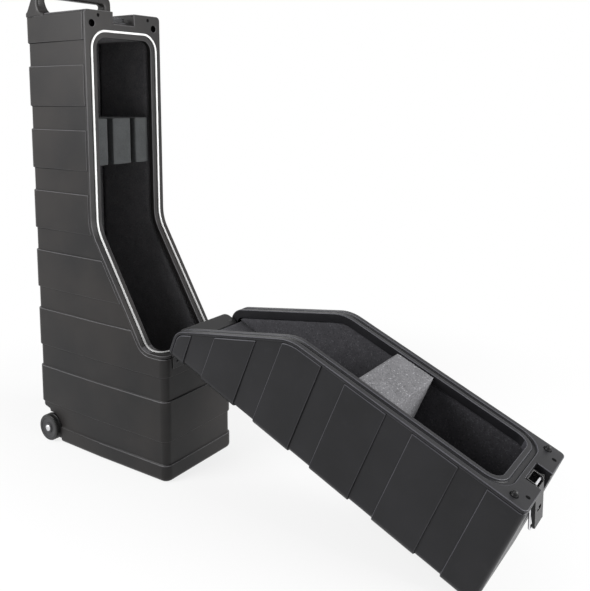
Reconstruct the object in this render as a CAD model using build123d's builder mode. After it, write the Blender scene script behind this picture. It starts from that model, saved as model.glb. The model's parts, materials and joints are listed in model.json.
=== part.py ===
"""Upright moulded case for two stringed instruments, stored with its lid lowered to the floor.

X runs across the width, Y from the opening (negative) to the back (positive), Z up.
The origin is the middle of the case's footprint on the floor. Sizes are in millimetres.
The lid's pieces are drawn where they stand when the case is closed and then swung open.
"""
import os
from math import acos, atan2, cos, degrees, hypot, radians, sin

from build123d import *

# Outside of the case
case_height = 1220.0
case_depth = 512.0
case_width = 272.0
draft_to_back = 4.0
draft_to_front = 3.0
corner_radius = 22.0
least_corner_radius = 4.0
edge_radius = 12.0

# Moulded bands round the outside
band_step = 4.0
bottom_band_height = 45.0
recess_height = 64.0
proud_height = 108.0
least_proud_height = 36.0

# Parting line between base and lid, seen from the side
sill_height = 340.0
sill_reach = 76.0
upper_bend_height = 640.0
upper_bend_radius = 110.0
lower_bend_radius = 40.0
rim_gap = 1.0

# Shell, rim and opening
shell_wall = 6.0
rim_width = 38.0
top_rim_width = 71.0
rim_thickness = 8.0
lid_lip_depth = 22.0
base_lip_depth = 14.0
lip_wall = 4.0
opening_corner_radius = 30.0
flange_strip = 7.0
channel_width = 2.4
channel_depth = 3.4
front_corner_radius = 10.0

# Sealing strip and its groove, locators
seal_offset = 18.0
seal_width = 6.0
seal_height = 4.0
groove_clearance = 3.0
groove_depth = 5.5
peg_half_spacing = 111.0
peg_below_top = 35.0
peg_radius = 7.0
peg_chamfer = 2.4
peg_length = 10.0
peg_sides = 12
peg_socket_radius = 9.5
peg_socket_depth = 13.0

# Lining foam
lining_gap = 0.3
lining_setback = 1.6
base_lining_depth = 25.0
back_lining = 24.0
floor_lining = 40.0
front_lining = 24.0
lid_floor_lining = 44.0

# Foam blocks that hold the necks
neck_block_low = 807.0
neck_block_high = 936.0
neck_block_setback = 20.0
neck_slot_width = 17.0
neck_slot_centre = 41.0
neck_slot_depth = 125.0
lid_block_low = 804.0
lid_block_high = 907.0
lid_block_setback = 3.0

# Moulded handle on top
handle_root = 9.0
handle_setback = 46.0
handle_bar_depth = 30.0
handle_flare_radius = 24.0
flare_share = 0.99
handle_back_spread = 21.0
handle_back_bend = 36.0
handle_height = 74.0
handle_bar_thickness = 29.0
handle_grip_half = 107.0
handle_grip_foot_half = 93.0
handle_corner_radius = 26.0
handle_inner_radius = 9.0
handle_edge_chamfer = 4.0

# Latch recess on top of base and lid
latch_side_clearance = 4.1
latch_recess_depth = 36.0
recess_wall = 4.0
base_recess_depth = 33.0
base_recess_length = 100.0
lid_recess_length = 112.0

# Hinge along the sill
pin_radius = 3.0
pin_clearance = 0.06
knuckle_radius = 5.2
hinge_length = 210.0
knuckle_count = 5
knuckle_gap = 0.6
knuckle_web_out = 4.16
knuckle_web_rise = 3.12
leaf_thickness = 2.4
leaf_height = 38.0
leaf_inner_edge = 2.6
hinge_axis_out = 7.4
hinge_rivet_radius = 4.0
hinge_rivet_height = 1.8
hinge_rivet_chamfer = 1.2
hinge_rivet_count = 6
rivet_row_from_pin = 22.0
leaf_corner_radius = 3.0

# Wheels
wheel_radius = 38.0
wheel_width = 27.0
wheel_hub_radius = 32.5
wheel_outstand = 10.0
wheel_from_back = 50.0
wheel_lift = 0.3
well_radius_gap = 4.0
well_side_gap = 3.0
notch_height = 88.0
notch_setback = 40.0
notch_slope_height = 98.0
axle_radius = 5.0
axle_clearance = 0.06
axle_cap_radius = 9.5
wheel_sides = 48
axle_cap_height = 4.0
axle_cap_chamfer = 1.6
axle_cap_sides = 12
axle_end_gap = 1.0

# Latch
bracket_width = 46.0
bracket_length = 46.0
bracket_plate = 3.0
ear_thickness = 3.0
ear_round = 6.0
rod_radius = 3.0
rod_clearance = 0.06
rod_end = 1.0
rod_behind_rim = 14.0
rod_below_top = 16.0
lever_width = 54.0
lever_wall = 2.6
lever_length = 86.0
lever_top_above_rod = 6.0
lever_depth = 14.0
lever_nose = 5.5
lever_tip_depth = 5.2
lever_window_from_rod = 53.32
lever_window_length = 27.0
lever_window_width = 9.0
loop_bend_gap = 1.3
loop_wire_radius = 2.5
loop_pivot_reach = 20.0
loop_pivot_drop = 4.0
loop_side_gap = 1.9
loop_length = 69.0
loop_wire_sides = 8
loop_trunnion_clearance = 0.06
loop_hook_angle = 176.5
keeper_width = 50.0
keeper_plate = 2.4
keeper_front = 14.0
keeper_back = 26.0
keeper_post = 3.6
keeper_hook = 4.0
keeper_hook_thickness = 2.6
keeper_bar_gap = 1.0
keeper_rivet_spacing = 30.0
bracket_rivet_spacing = 27.6
rivet_radius = 3.5
rivet_height = 1.8
rivet_chamfer = 1.2
rivet_sides = 8

# Flap across the lid's hinge end
flap_thickness = 12.0
flap_standoff = 3.0
flap_low = 321.0
flap_high = 366.0
flap_side_gap = 3.0
flap_corner_radius = 14.0
flap_boss_radius = 7.0
flap_boss_inset = 15.0
flap_screw_radius = 4.5
flap_screw_height = 2.0
flap_screw_chamfer = 1.0

# Clearance under the lid's front edge when it lies open
floor_gap = 0.4

# How far off a point or edge is still picked, and how squarely a face must look along its seat
pick_margin = 0.1
facing_share = 0.99

half_width = case_width / 2
back_y = case_depth / 2
front_y = -case_depth / 2
inner_inset = band_step + shell_wall
inner_top = case_height - inner_inset
opening_half = half_width - rim_width
opening_top = case_height - top_rim_width
opening_front = front_y + rim_width
bend_y = front_y + sill_reach
half_gap = rim_gap / 2
hinge_y = front_y - hinge_axis_out
hinge_z = sill_height
wheel_y = back_y - wheel_from_back
wheel_z = wheel_radius + wheel_lift
wheel_face_x = half_width + wheel_outstand
wheel_back_x = wheel_face_x - wheel_width
well_wall_x = wheel_back_x - well_side_gap
rod_y = -rod_behind_rim
rod_z = case_height - rod_below_top
loop_leg_half = lever_width / 2 + loop_side_gap + loop_wire_radius
latch_recess_half = loop_leg_half + loop_wire_radius + latch_side_clearance
base_recess_slope = base_recess_depth / base_recess_length
far = 2 * case_depth
tall = 2 * case_height

# The lid lies open with its far front edge on the floor
hinge_axis = Axis((0, hinge_y, hinge_z), (1, 0, 0))
edge_forward = hinge_axis_out + edge_radius
edge_up = case_height - edge_radius - hinge_z
edge_reach = hypot(edge_forward, edge_up)
edge_drop = edge_radius + floor_gap - hinge_z
lid_open_angle = degrees(atan2(edge_forward, edge_up) + acos(edge_drop / edge_reach))
lever_hang_angle = 270 - lid_open_angle


def band_levels():
    """Heights where the outside steps, as (low, high, is_proud) from the floor up."""
    levels = [(0.0, bottom_band_height, True)]
    level = bottom_band_height
    while level < case_height:
        low = level + recess_height
        high = low + proud_height
        if high + recess_height + least_proud_height > case_height:
            high = case_height
        levels.append((level, low, False))
        levels.append((low, high, True))
        level = high
    return levels


def plan_outline(inset):
    """Horizontal section of the case: widest at the rim plane, drafted to front and back."""
    side = half_width - inset
    back = back_y - inset
    with BuildSketch() as outline:
        with BuildLine():
            Polyline(
                (side, 0), (side - draft_to_back, back), (draft_to_back - side, back),
                (-side, 0), (draft_to_front - side, -back), (side - draft_to_front, -back),
                close=True,
            )
        make_face()
        corners = outline.vertices().filter_by(lambda v: abs(v.Y) > pick_margin)
        fillet(corners, max(corner_radius - inset, least_corner_radius))
    return outline.sketch


def plain_block(inset, low, high):
    """Straight block with the case's plan, drawn in by an inset."""
    with BuildPart() as block:
        with BuildSketch(Plane.XY.offset(low)):
            add(plan_outline(inset))
        extrude(amount=high - low)
    return block.part


def rounded_band(low, high):
    """One proud band, rounded where it is the very top or bottom of the case."""
    with BuildPart() as band:
        add(plain_block(0, low, high))
        if high == case_height:
            fillet(band.faces().sort_by(Axis.Z)[-1].edges(), edge_radius)
        if low == 0:
            fillet(band.faces().sort_by(Axis.Z)[0].edges(), edge_radius)
    return band.part


def lid_side(shift):
    """Everything in front of the parting line, moved by a shift towards the base."""
    slant = hypot(bend_y, upper_bend_height - sill_height)
    normal_y = (upper_bend_height - sill_height) / slant
    normal_z = bend_y / slant
    level = sill_height - shift
    point_y = shift * normal_y
    point_z = upper_bend_height + shift * normal_z
    upper_z = point_z - (shift - point_y) * normal_y / normal_z
    lower_y = point_y - (level - point_z) * normal_z / normal_y
    with BuildPart() as region:
        with BuildSketch(Plane.YZ) as outline:
            with BuildLine():
                Polyline(
                    (shift, tall), (shift, upper_z), (lower_y, level), (-far, level), (-far, tall),
                    close=True,
                )
            make_face()
            upper = outline.vertices().sort_by_distance((shift, upper_z))[0]
            fillet(upper, upper_bend_radius + shift)
            lower = outline.vertices().sort_by_distance((lower_y, level))[0]
            fillet(lower, lower_bend_radius + shift)
        extrude(amount=case_width, both=True)
    return region.part


def rim_layer(start, end):
    """Layer between two copies of the parting line, the end nearer the base than the start."""
    with BuildPart() as layer:
        add(lid_side(end))
        add(lid_side(start), mode=Mode.SUBTRACT)
    return layer.part


def opening_prism(grow):
    """Space straight through the opening, grown outwards all round."""
    half = opening_half + grow
    top = opening_top + grow
    front = opening_front - grow
    with BuildPart() as prism:
        with BuildSketch(Plane.XZ):
            with Locations((0, top - tall / 2)):
                Rectangle(2 * half, tall)
            fillet(vertices().group_by(Axis.Z)[-1], opening_corner_radius + grow)
        extrude(amount=far, both=True)
        with BuildSketch():
            with Locations((0, front + far)):
                Rectangle(2 * half, 2 * far)
            fillet(vertices().group_by(Axis.Y)[0], front_corner_radius + grow)
        extrude(amount=tall, both=True, mode=Mode.INTERSECT)
    return prism.part


def box_between(low, high):
    """Box between two opposite corners."""
    with BuildPart() as block:
        with Locations(tuple((a + b) / 2 for a, b in zip(low, high))):
            Box(*(b - a for a, b in zip(low, high)))
    return block.part


def wheel_wells(grow):
    """Pockets for both wheels, which hug them at the front and above and open at the back."""
    reach = wheel_radius + well_radius_gap + grow
    inner = well_wall_x - grow
    with BuildPart() as wells:
        with BuildSketch(Plane.YZ.offset(inner)):
            with Locations((wheel_y, wheel_z)):
                Circle(reach)
                Rectangle(far, reach, align=(Align.MIN, Align.MIN))
                Rectangle(reach, reach + wheel_z, align=(Align.MAX, Align.MAX))
                Rectangle(far, reach + wheel_z, align=(Align.MIN, Align.MAX))
        extrude(amount=half_width)
        mirror(about=Plane.YZ)
    return wells.part


def rear_notch(grow):
    """Step along the rear foot of the case, with a sloping roof."""
    inner = back_y - notch_setback - grow
    with BuildPart() as notch:
        with BuildSketch(Plane.YZ):
            with BuildLine():
                Polyline(
                    (inner, -edge_radius), (inner, notch_height + grow),
                    (back_y + grow, notch_slope_height + grow), (back_y + far, notch_slope_height + grow),
                    (back_y + far, -edge_radius), close=True,
                )
            make_face()
        extrude(amount=case_width, both=True)
    return notch.part


def ramp_height(y):
    """Height of the ramp in the base's latch recess at a distance behind the rim plane."""
    return case_height - base_recess_depth + base_recess_slope * y


def base_recess(grow):
    """Latch recess in the base: a ramp from the rim up to the top."""
    with BuildPart() as recess:
        with BuildSketch(Plane.YZ):
            with BuildLine():
                Polyline(
                    (-rim_gap, ramp_height(-rim_gap) - grow),
                    (base_recess_length + grow, case_height - grow),
                    (base_recess_length + grow, tall), (-rim_gap, tall), close=True,
                )
            make_face()
        extrude(amount=latch_recess_half + grow, both=True)
    return recess.part


def lid_recess(grow):
    """Latch recess in the lid, where the folded lever lies."""
    side = latch_recess_half + grow
    floor = case_height - latch_recess_depth - grow
    return box_between((-side, -lid_recess_length - grow, floor), (side, rim_gap, tall))


def handle_arch():
    """Moulded arch, flush with the sides of the case and flared where it meets the top."""
    middle = back_y - handle_setback
    front = middle - handle_bar_depth / 2
    back = middle + handle_bar_depth / 2
    foot_back = back + handle_back_spread
    bend = case_height + handle_back_bend
    root = case_height - handle_root
    top = case_height + handle_height
    grip = top - handle_bar_thickness
    outer = half_width - draft_to_back * foot_back / back_y
    with BuildPart() as arch:
        with BuildSketch(Plane.XZ) as front_view:
            with Locations((0, (root + top) / 2)):
                Rectangle(2 * outer, top - root)
            fillet(front_view.vertices().group_by(Axis.Y)[-1], handle_corner_radius)
            with BuildLine():
                Polyline(
                    (-handle_grip_foot_half, root), (-handle_grip_foot_half, case_height),
                    (-handle_grip_half, grip), (handle_grip_half, grip),
                    (handle_grip_foot_half, case_height), (handle_grip_foot_half, root), close=True,
                )
            make_face(mode=Mode.SUBTRACT)
            window_corners = front_view.vertices().filter_by(lambda v: abs(v.Y - grip) < pick_margin)
            fillet(window_corners, handle_inner_radius)
        extrude(amount=case_depth, both=True)
        with BuildSketch(Plane.YZ) as side_view:
            with BuildLine():
                Polyline(
                    (front - handle_flare_radius, root), (front - handle_flare_radius, case_height),
                    (front, case_height), (front, top), (back, top), (back, bend),
                    (foot_back, case_height), (foot_back, root), close=True,
                )
            make_face()
            flare = side_view.vertices().sort_by_distance((front, case_height))[0]
            fillet(flare, handle_flare_radius * flare_share)
        extrude(amount=half_width, both=True, mode=Mode.INTERSECT)
        rims = arch.edges().filter_by(
            lambda e: abs(abs(e.center().Y - middle) - handle_bar_depth / 2) < pick_margin)
        rims = rims.filter_by(lambda e: e.bounding_box().min.Z > bend - pick_margin)
        rims = rims.filter_by(lambda e: e.center().Z > bend + pick_margin)
        chamfer(rims, handle_edge_chamfer)
    return arch.part


def bands():
    """Outside of the whole case with its proud and recessed bands."""
    with BuildPart() as stack:
        for low, high, proud in band_levels():
            if proud:
                add(rounded_band(low, high))
            else:
                add(plain_block(band_step, low, high))
    return stack.part


def channel_round(start, end):
    """Ring cut into the outside between two copies of the parting line."""
    with BuildPart() as ring:
        add(plain_block(-band_step, -edge_radius, case_height + edge_radius))
        add(plain_block(channel_depth, channel_depth, case_height - channel_depth), mode=Mode.SUBTRACT)
        add(rim_layer(start, end), mode=Mode.INTERSECT)
    return ring.part


def smooth_strip(start, end):
    """Unbanded strip of the outside that frames the parting line."""
    with BuildPart() as strip:
        add(rounded_band(0, case_height))
        add(rim_layer(start, end), mode=Mode.INTERSECT)
    return strip.part


def lip_ring(start, end):
    """Short wall down from the edge of the opening."""
    with BuildPart() as ring:
        add(opening_prism(lip_wall))
        add(opening_prism(0), mode=Mode.SUBTRACT)
        add(rim_layer(start, end), mode=Mode.INTERSECT)
    return ring.part


def rim_band(centre, width, start, end):
    """Strip of given width that follows the opening at an offset, within a layer of the rim."""
    with BuildPart() as strip:
        add(opening_prism(centre + width / 2))
        add(opening_prism(centre - width / 2), mode=Mode.SUBTRACT)
        add(rim_layer(start, end), mode=Mode.INTERSECT)
    return strip.part


def rim_points(half_spacing, below_top):
    """Two places on the top rim, either side of the latch recess."""
    return Locations((-half_spacing, case_height - below_top), (half_spacing, case_height - below_top))


def pad_block(low, high):
    """Foam block between two corners, kept clear of the shell's inner walls."""
    with BuildPart() as pad:
        add(plain_block(inner_inset + lining_gap, inner_inset + lining_gap, inner_top - lining_gap))
        add(box_between(low, high), mode=Mode.INTERSECT)
    return pad.part


foot_clear = shell_wall + lining_gap
lining_half = opening_half + lining_setback
lining_top = opening_top + lining_setback
back_pad_face = back_y - inner_inset - back_lining
floor_pad_top = inner_inset + floor_lining
front_pad_face = front_y + inner_inset + front_lining
lid_floor_face = front_y + inner_inset + lid_floor_lining
base_lining_start = half_gap + base_lining_depth
lid_lining_start = half_gap + lid_lip_depth + lining_gap

# Base shell
base_cavity_rim = half_gap + rim_thickness
with BuildPart() as base_cavity:
    add(plain_block(inner_inset, inner_inset, inner_top))
    add(lid_side(base_cavity_rim), mode=Mode.SUBTRACT)
    add(lip_ring(half_gap, half_gap + base_lip_depth), mode=Mode.SUBTRACT)
    add(wheel_wells(shell_wall), mode=Mode.SUBTRACT)
    add(rear_notch(shell_wall), mode=Mode.SUBTRACT)
    add(base_recess(recess_wall), mode=Mode.SUBTRACT)

with BuildPart() as base_opening:
    add(opening_prism(0))
    add(rim_layer(-half_gap, base_cavity_rim + rim_gap), mode=Mode.INTERSECT)

with BuildPart() as base_shell:
    add(bands())
    add(channel_round(half_gap, half_gap + flange_strip + channel_width), mode=Mode.SUBTRACT)
    add(smooth_strip(half_gap, half_gap + flange_strip))
    add(lid_side(half_gap), mode=Mode.SUBTRACT)
    add(base_cavity.part, mode=Mode.SUBTRACT)
    add(base_opening.part, mode=Mode.SUBTRACT)
    add(wheel_wells(0), mode=Mode.SUBTRACT)
    add(rear_notch(0), mode=Mode.SUBTRACT)
    add(base_recess(0), mode=Mode.SUBTRACT)
    with BuildSketch(Plane.XZ.offset(-half_gap)):
        with rim_points(peg_half_spacing, peg_below_top):
            Circle(peg_socket_radius)
    extrude(amount=-peg_socket_depth, mode=Mode.SUBTRACT)
    add(handle_arch(), mode=Mode.SUBTRACT)

with BuildPart() as top_handle:
    add(handle_arch())

with BuildPart() as seal_strip:
    add(rim_band(seal_offset, seal_width, half_gap - seal_height, half_gap))

# Base lining
with BuildPart() as base_floor_pad:
    add(pad_block((-far, -far, 0), (far, far, floor_pad_top)))
    add(wheel_wells(foot_clear), mode=Mode.SUBTRACT)
    add(rear_notch(foot_clear), mode=Mode.SUBTRACT)

pad_low = floor_pad_top + lining_gap
back_pad_low = notch_slope_height + foot_clear + lining_gap
with BuildPart() as base_back_pad:
    add(pad_block((-far, back_pad_face, back_pad_low), (far, far, tall)))
    add(base_recess(recess_wall + lining_gap), mode=Mode.SUBTRACT)

with BuildPart() as base_side_pads:
    for side in (-1, 1):
        faces = sorted((side * lining_half, side * far))
        add(pad_block((faces[0], -far, pad_low), (faces[1], back_pad_face - lining_gap, tall)))
    add(lid_side(base_lining_start), mode=Mode.SUBTRACT)
    add(wheel_wells(foot_clear), mode=Mode.SUBTRACT)
    add(rear_notch(foot_clear), mode=Mode.SUBTRACT)

core_half = lining_half - lining_gap
with BuildPart() as base_top_pad:
    add(pad_block((-core_half, base_lining_start, lining_top),
                  (core_half, back_pad_face - lining_gap, tall)))
    add(base_recess(recess_wall + lining_gap), mode=Mode.SUBTRACT)

with BuildPart() as base_front_pad:
    add(pad_block((-core_half, -far, pad_low), (core_half, front_pad_face, sill_height)))
    add(lid_side(base_lining_start), mode=Mode.SUBTRACT)

with BuildPart() as neck_block:
    add(box_between((-core_half, neck_block_setback, neck_block_low),
                    (core_half, back_pad_face - lining_gap, neck_block_high)))
    slot_middle = (neck_block_high + neck_block_low) / 2
    with Locations((-neck_slot_centre, neck_block_setback, slot_middle),
                   (neck_slot_centre, neck_block_setback, slot_middle)):
        Box(neck_slot_width, 2 * neck_slot_depth, tall, mode=Mode.SUBTRACT)

# Latch keeper on the ramp of the base recess, with a hook that faces away from the lid
recess_floor = case_height - latch_recess_depth
hooked = radians(180 - loop_hook_angle)
loop_pivot_y = rod_y - loop_pivot_reach
loop_pivot_z = rod_z - loop_pivot_drop
hook_bar_y = loop_pivot_y + loop_length * cos(hooked)
hook_bar_z = loop_pivot_z + loop_length * sin(hooked)
post_face = hook_bar_y - loop_wire_radius - keeper_bar_gap
keeper_start = post_face - keeper_front
keeper_end = post_face + keeper_back
hook_low = hook_bar_z + loop_wire_radius + keeper_bar_gap
hook_high = hook_low + keeper_hook_thickness
with BuildPart() as latch_keeper:
    with BuildSketch(Plane.YZ) as keeper_profile:
        with BuildLine():
            Polyline(
                (keeper_start, ramp_height(keeper_start)), (keeper_end, ramp_height(keeper_end)),
                (keeper_end, ramp_height(keeper_end) + keeper_plate),
                (post_face, ramp_height(post_face) + keeper_plate), (post_face, hook_low),
                (post_face + keeper_hook, hook_low), (post_face + keeper_hook, hook_high),
                (post_face - keeper_post, hook_high),
                (post_face - keeper_post, ramp_height(post_face - keeper_post) + keeper_plate),
                (keeper_start, ramp_height(keeper_start) + keeper_plate), close=True,
            )
        make_face()
    extrude(amount=keeper_width / 2, both=True)


def rivet_heads(seat, spacing, count, radius, height, edge):
    """Row of rivet heads with chamfered rims, standing on a plane."""
    with BuildPart() as heads:
        with BuildSketch(seat):
            with GridLocations(spacing, 0, count, 1):
                RegularPolygon(radius, rivet_sides)
        extrude(amount=height)
        rims = heads.faces().filter_by(lambda f: f.normal_at().dot(seat.z_dir) > facing_share).edges()
        chamfer(rims, edge)
    return heads.part


keeper_rivet_y = keeper_end - 2 * rivet_radius
keeper_seat = Plane(
    origin=(0, keeper_rivet_y, ramp_height(keeper_rivet_y) + keeper_plate),
    x_dir=(1, 0, 0), z_dir=(0, -base_recess_slope, 1),
)
with BuildPart() as keeper_rivets:
    add(rivet_heads(keeper_seat, keeper_rivet_spacing, 2, rivet_radius, rivet_height,
                    rivet_chamfer))

# Hinge along the sill: finger knuckles on one long pin
knuckle_pitch = hinge_length / knuckle_count
leaf_face = front_y - leaf_thickness
leaf_edge_gap = knuckle_gap + half_gap


def hinge_leaf(direction, first):
    """Leaf below (-1) or above (+1) the sill, with every second knuckle from a first one."""
    near = hinge_z + direction * leaf_edge_gap
    seat = hinge_z + direction * 2 * knuckle_radius
    outer = hinge_z + direction * leaf_height
    with BuildPart() as leaf:
        with BuildSketch(Plane.XY.offset(outer)):
            with Locations((0, front_y - leaf_thickness / 2)):
                Rectangle(hinge_length, leaf_thickness)
        extrude(amount=leaf_height - leaf_inner_edge, dir=(0, 0, -direction))
        corners = leaf.edges().filter_by(Axis.Y).filter_by(lambda e: abs(e.center().Z - outer) < pick_margin)
        fillet(corners, leaf_corner_radius)
        for index in range(first, knuckle_count, 2):
            start = -hinge_length / 2 + index * knuckle_pitch + knuckle_gap / 2
            with BuildSketch(Plane.YZ.offset(start)):
                with Locations((hinge_y, hinge_z)):
                    Circle(knuckle_radius)
                with BuildLine():
                    Polyline(
                        (front_y, seat), (front_y, near), (hinge_y, near),
                        (hinge_y - knuckle_web_out, hinge_z + direction * knuckle_web_rise),
                        (leaf_face, seat), close=True,
                    )
                make_face()
            extrude(amount=knuckle_pitch - knuckle_gap)
        with BuildSketch(Plane.YZ.offset(-hinge_length)):
            with Locations((hinge_y, hinge_z)):
                Circle(pin_radius + (pin_clearance if direction > 0 else 0))
        extrude(amount=2 * hinge_length, mode=Mode.SUBTRACT)
    return leaf.part


def hinge_rivets(direction):
    """Row of rivets through one leaf."""
    seat = Plane(
        origin=(0, leaf_face, hinge_z + direction * rivet_row_from_pin), x_dir=(1, 0, 0), z_dir=(0, -1, 0),
    )
    spacing = hinge_length / hinge_rivet_count
    return rivet_heads(seat, spacing, hinge_rivet_count, hinge_rivet_radius, hinge_rivet_height,
                       hinge_rivet_chamfer)


with BuildPart() as hinge_base_leaf:
    add(hinge_leaf(-1, 0))

with BuildPart() as hinge_base_rivets:
    add(hinge_rivets(-1))

with BuildPart() as hinge_pin:
    with BuildSketch(Plane.YZ.offset(-hinge_length / 2)):
        with Locations((hinge_y, hinge_z)):
            Circle(pin_radius)
    extrude(amount=hinge_length)

# Wheels on stub axles
wheel_parts = {}
for side, word in ((-1, "left"), (1, "right")):
    wall_plane = Plane(origin=(side * well_wall_x, wheel_y, wheel_z), z_dir=(side, 0, 0))
    wheel_plane = Plane(origin=(side * wheel_back_x, wheel_y, wheel_z), z_dir=(side, 0, 0))
    face_plane = Plane(origin=(side * wheel_face_x, wheel_y, wheel_z), z_dir=(side, 0, 0))

    with BuildPart() as axle:
        with BuildSketch(wall_plane):
            Circle(axle_radius)
        extrude(amount=well_side_gap + wheel_width - axle_end_gap)

    with BuildPart() as tyre:
        with BuildSketch(wheel_plane):
            RegularPolygon(wheel_radius, wheel_sides)
            RegularPolygon(wheel_hub_radius, wheel_sides, mode=Mode.SUBTRACT)
        extrude(amount=wheel_width)

    with BuildPart() as hub:
        with BuildSketch(wheel_plane):
            RegularPolygon(wheel_hub_radius, wheel_sides)
            Circle(axle_radius + axle_clearance, mode=Mode.SUBTRACT)
        extrude(amount=wheel_width)

    with BuildPart() as cap:
        with BuildSketch(face_plane):
            RegularPolygon(axle_cap_radius, axle_cap_sides)
        extrude(amount=axle_cap_height)
        chamfer(cap.faces().sort_by(Axis.X)[0 if side < 0 else -1].edges(), axle_cap_chamfer)

    wheel_parts["axle_" + word] = axle.part
    wheel_parts["tyre_" + word] = tyre.part
    wheel_parts["hub_" + word] = hub.part
    wheel_parts["wheel_cap_" + word] = cap.part

# Lid shell, drawn closed
lid_cavity_rim = -half_gap - rim_thickness
with BuildPart() as lid_cavity:
    add(plain_block(inner_inset, inner_inset, inner_top))
    add(lid_side(lid_cavity_rim), mode=Mode.INTERSECT)
    add(lip_ring(-half_gap - lid_lip_depth, -half_gap), mode=Mode.SUBTRACT)
    add(lid_recess(recess_wall), mode=Mode.SUBTRACT)

with BuildPart() as lid_opening:
    add(opening_prism(0))
    add(rim_layer(lid_cavity_rim - rim_gap, half_gap), mode=Mode.INTERSECT)

with BuildPart() as lid_shell:
    add(bands())
    add(channel_round(-half_gap - flange_strip - channel_width, -half_gap), mode=Mode.SUBTRACT)
    add(smooth_strip(-half_gap - flange_strip, -half_gap))
    add(lid_side(-half_gap), mode=Mode.INTERSECT)
    add(lid_cavity.part, mode=Mode.SUBTRACT)
    add(lid_opening.part, mode=Mode.SUBTRACT)
    add(lid_recess(0), mode=Mode.SUBTRACT)
    groove = (-half_gap - groove_depth, -half_gap)
    add(rim_band(seal_offset, seal_width + 2 * groove_clearance, *groove), mode=Mode.SUBTRACT)

with BuildPart() as locator_pegs:
    with BuildSketch(Plane.XZ.offset(half_gap)):
        with rim_points(peg_half_spacing, peg_below_top):
            RegularPolygon(peg_radius, peg_sides)
    extrude(amount=-peg_length)
    chamfer(locator_pegs.faces().sort_by(Axis.Y)[-2:].edges(), peg_chamfer)

# Lid lining
with BuildPart() as lid_floor_pad:
    add(pad_block((-far, -far, 0), (far, lid_floor_face, tall)))
    add(lid_side(-lid_lining_start), mode=Mode.INTERSECT)
    add(box_between((-far, -far, flap_high + lining_gap), (far, far, tall)), mode=Mode.INTERSECT)

with BuildPart() as lid_side_pads:
    for side in (-1, 1):
        faces = sorted((side * lining_half, side * far))
        add(pad_block((faces[0], lid_floor_face + lining_gap, 0), (faces[1], far, tall)))
    add(lid_side(-lid_lining_start), mode=Mode.INTERSECT)

with BuildPart() as lid_top_pad:
    add(pad_block((-core_half, lid_floor_face + lining_gap, lining_top),
                  (core_half, -lid_lining_start, tall)))
    add(lid_recess(recess_wall + lining_gap), mode=Mode.SUBTRACT)

block_half = opening_half - lining_gap
with BuildPart() as lid_block:
    add(box_between((-block_half, lid_floor_face + lining_gap, lid_block_low),
                    (block_half, -lid_block_setback, lid_block_high)))

# Flap across the hinge end of the lid
flap_outer = opening_front + flap_standoff
flap_inner = flap_outer + flap_thickness
flap_half = opening_half - flap_side_gap
flap_boss_height = sill_height + lid_lip_depth / 2
flap_boss_spacing = 2 * (flap_half - flap_boss_inset)
with BuildPart() as hinge_flap:
    with BuildSketch(Plane.XZ.offset(-flap_inner)):
        with Locations((0, (flap_low + flap_high) / 2)):
            RectangleRounded(2 * flap_half, flap_high - flap_low, flap_corner_radius)
    extrude(amount=flap_thickness)
    with BuildSketch(Plane.XZ.offset(-flap_outer)):
        with Locations((0, flap_boss_height)):
            with GridLocations(flap_boss_spacing, 0, 2, 1):
                RegularPolygon(flap_boss_radius, rivet_sides)
    extrude(amount=flap_standoff)

flap_seat = Plane(origin=(0, flap_inner, flap_boss_height), x_dir=(1, 0, 0), z_dir=(0, 1, 0))
with BuildPart() as flap_screws:
    add(rivet_heads(flap_seat, flap_boss_spacing, 2, flap_screw_radius, flap_screw_height,
                    flap_screw_chamfer))

with BuildPart() as hinge_lid_leaf:
    add(hinge_leaf(1, 1))

with BuildPart() as hinge_lid_rivets:
    add(hinge_rivets(1))

# Latch bracket and rod in the lid recess
bracket_front = rod_y + ear_round
ear_outer = bracket_width / 2
with BuildPart() as latch_bracket:
    add(box_between((-ear_outer, bracket_front - bracket_length, recess_floor),
                    (ear_outer, bracket_front, recess_floor + bracket_plate)))
    for side in (-1, 1):
        with BuildSketch(Plane.YZ.offset(side * ear_outer)):
            with Locations((rod_y, rod_z)):
                Circle(ear_round)
            with BuildLine():
                Polyline(
                    (rod_y + ear_round, rod_z), (rod_y + ear_round, recess_floor),
                    (rod_y - 2 * ear_round, recess_floor), (rod_y - ear_round, rod_z), close=True,
                )
            make_face()
        extrude(amount=ear_thickness, dir=(-side, 0, 0))
    with BuildSketch(Plane.YZ.offset(-bracket_width)):
        with Locations((rod_y, rod_z)):
            Circle(rod_radius)
    extrude(amount=2 * bracket_width, mode=Mode.SUBTRACT)

bracket_rivet_y = bracket_front - bracket_length + 2 * rivet_radius
bracket_seat = Plane(origin=(0, bracket_rivet_y, recess_floor + bracket_plate))
with BuildPart() as bracket_rivets:
    add(rivet_heads(bracket_seat, bracket_rivet_spacing, 2, rivet_radius, rivet_height,
                    rivet_chamfer))

with BuildPart() as latch_rod:
    with BuildSketch(Plane.YZ.offset(-lever_width / 2 - rod_end)):
        with Locations((rod_y, rod_z)):
            Circle(rod_radius)
    extrude(amount=lever_width + 2 * rod_end)

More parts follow.
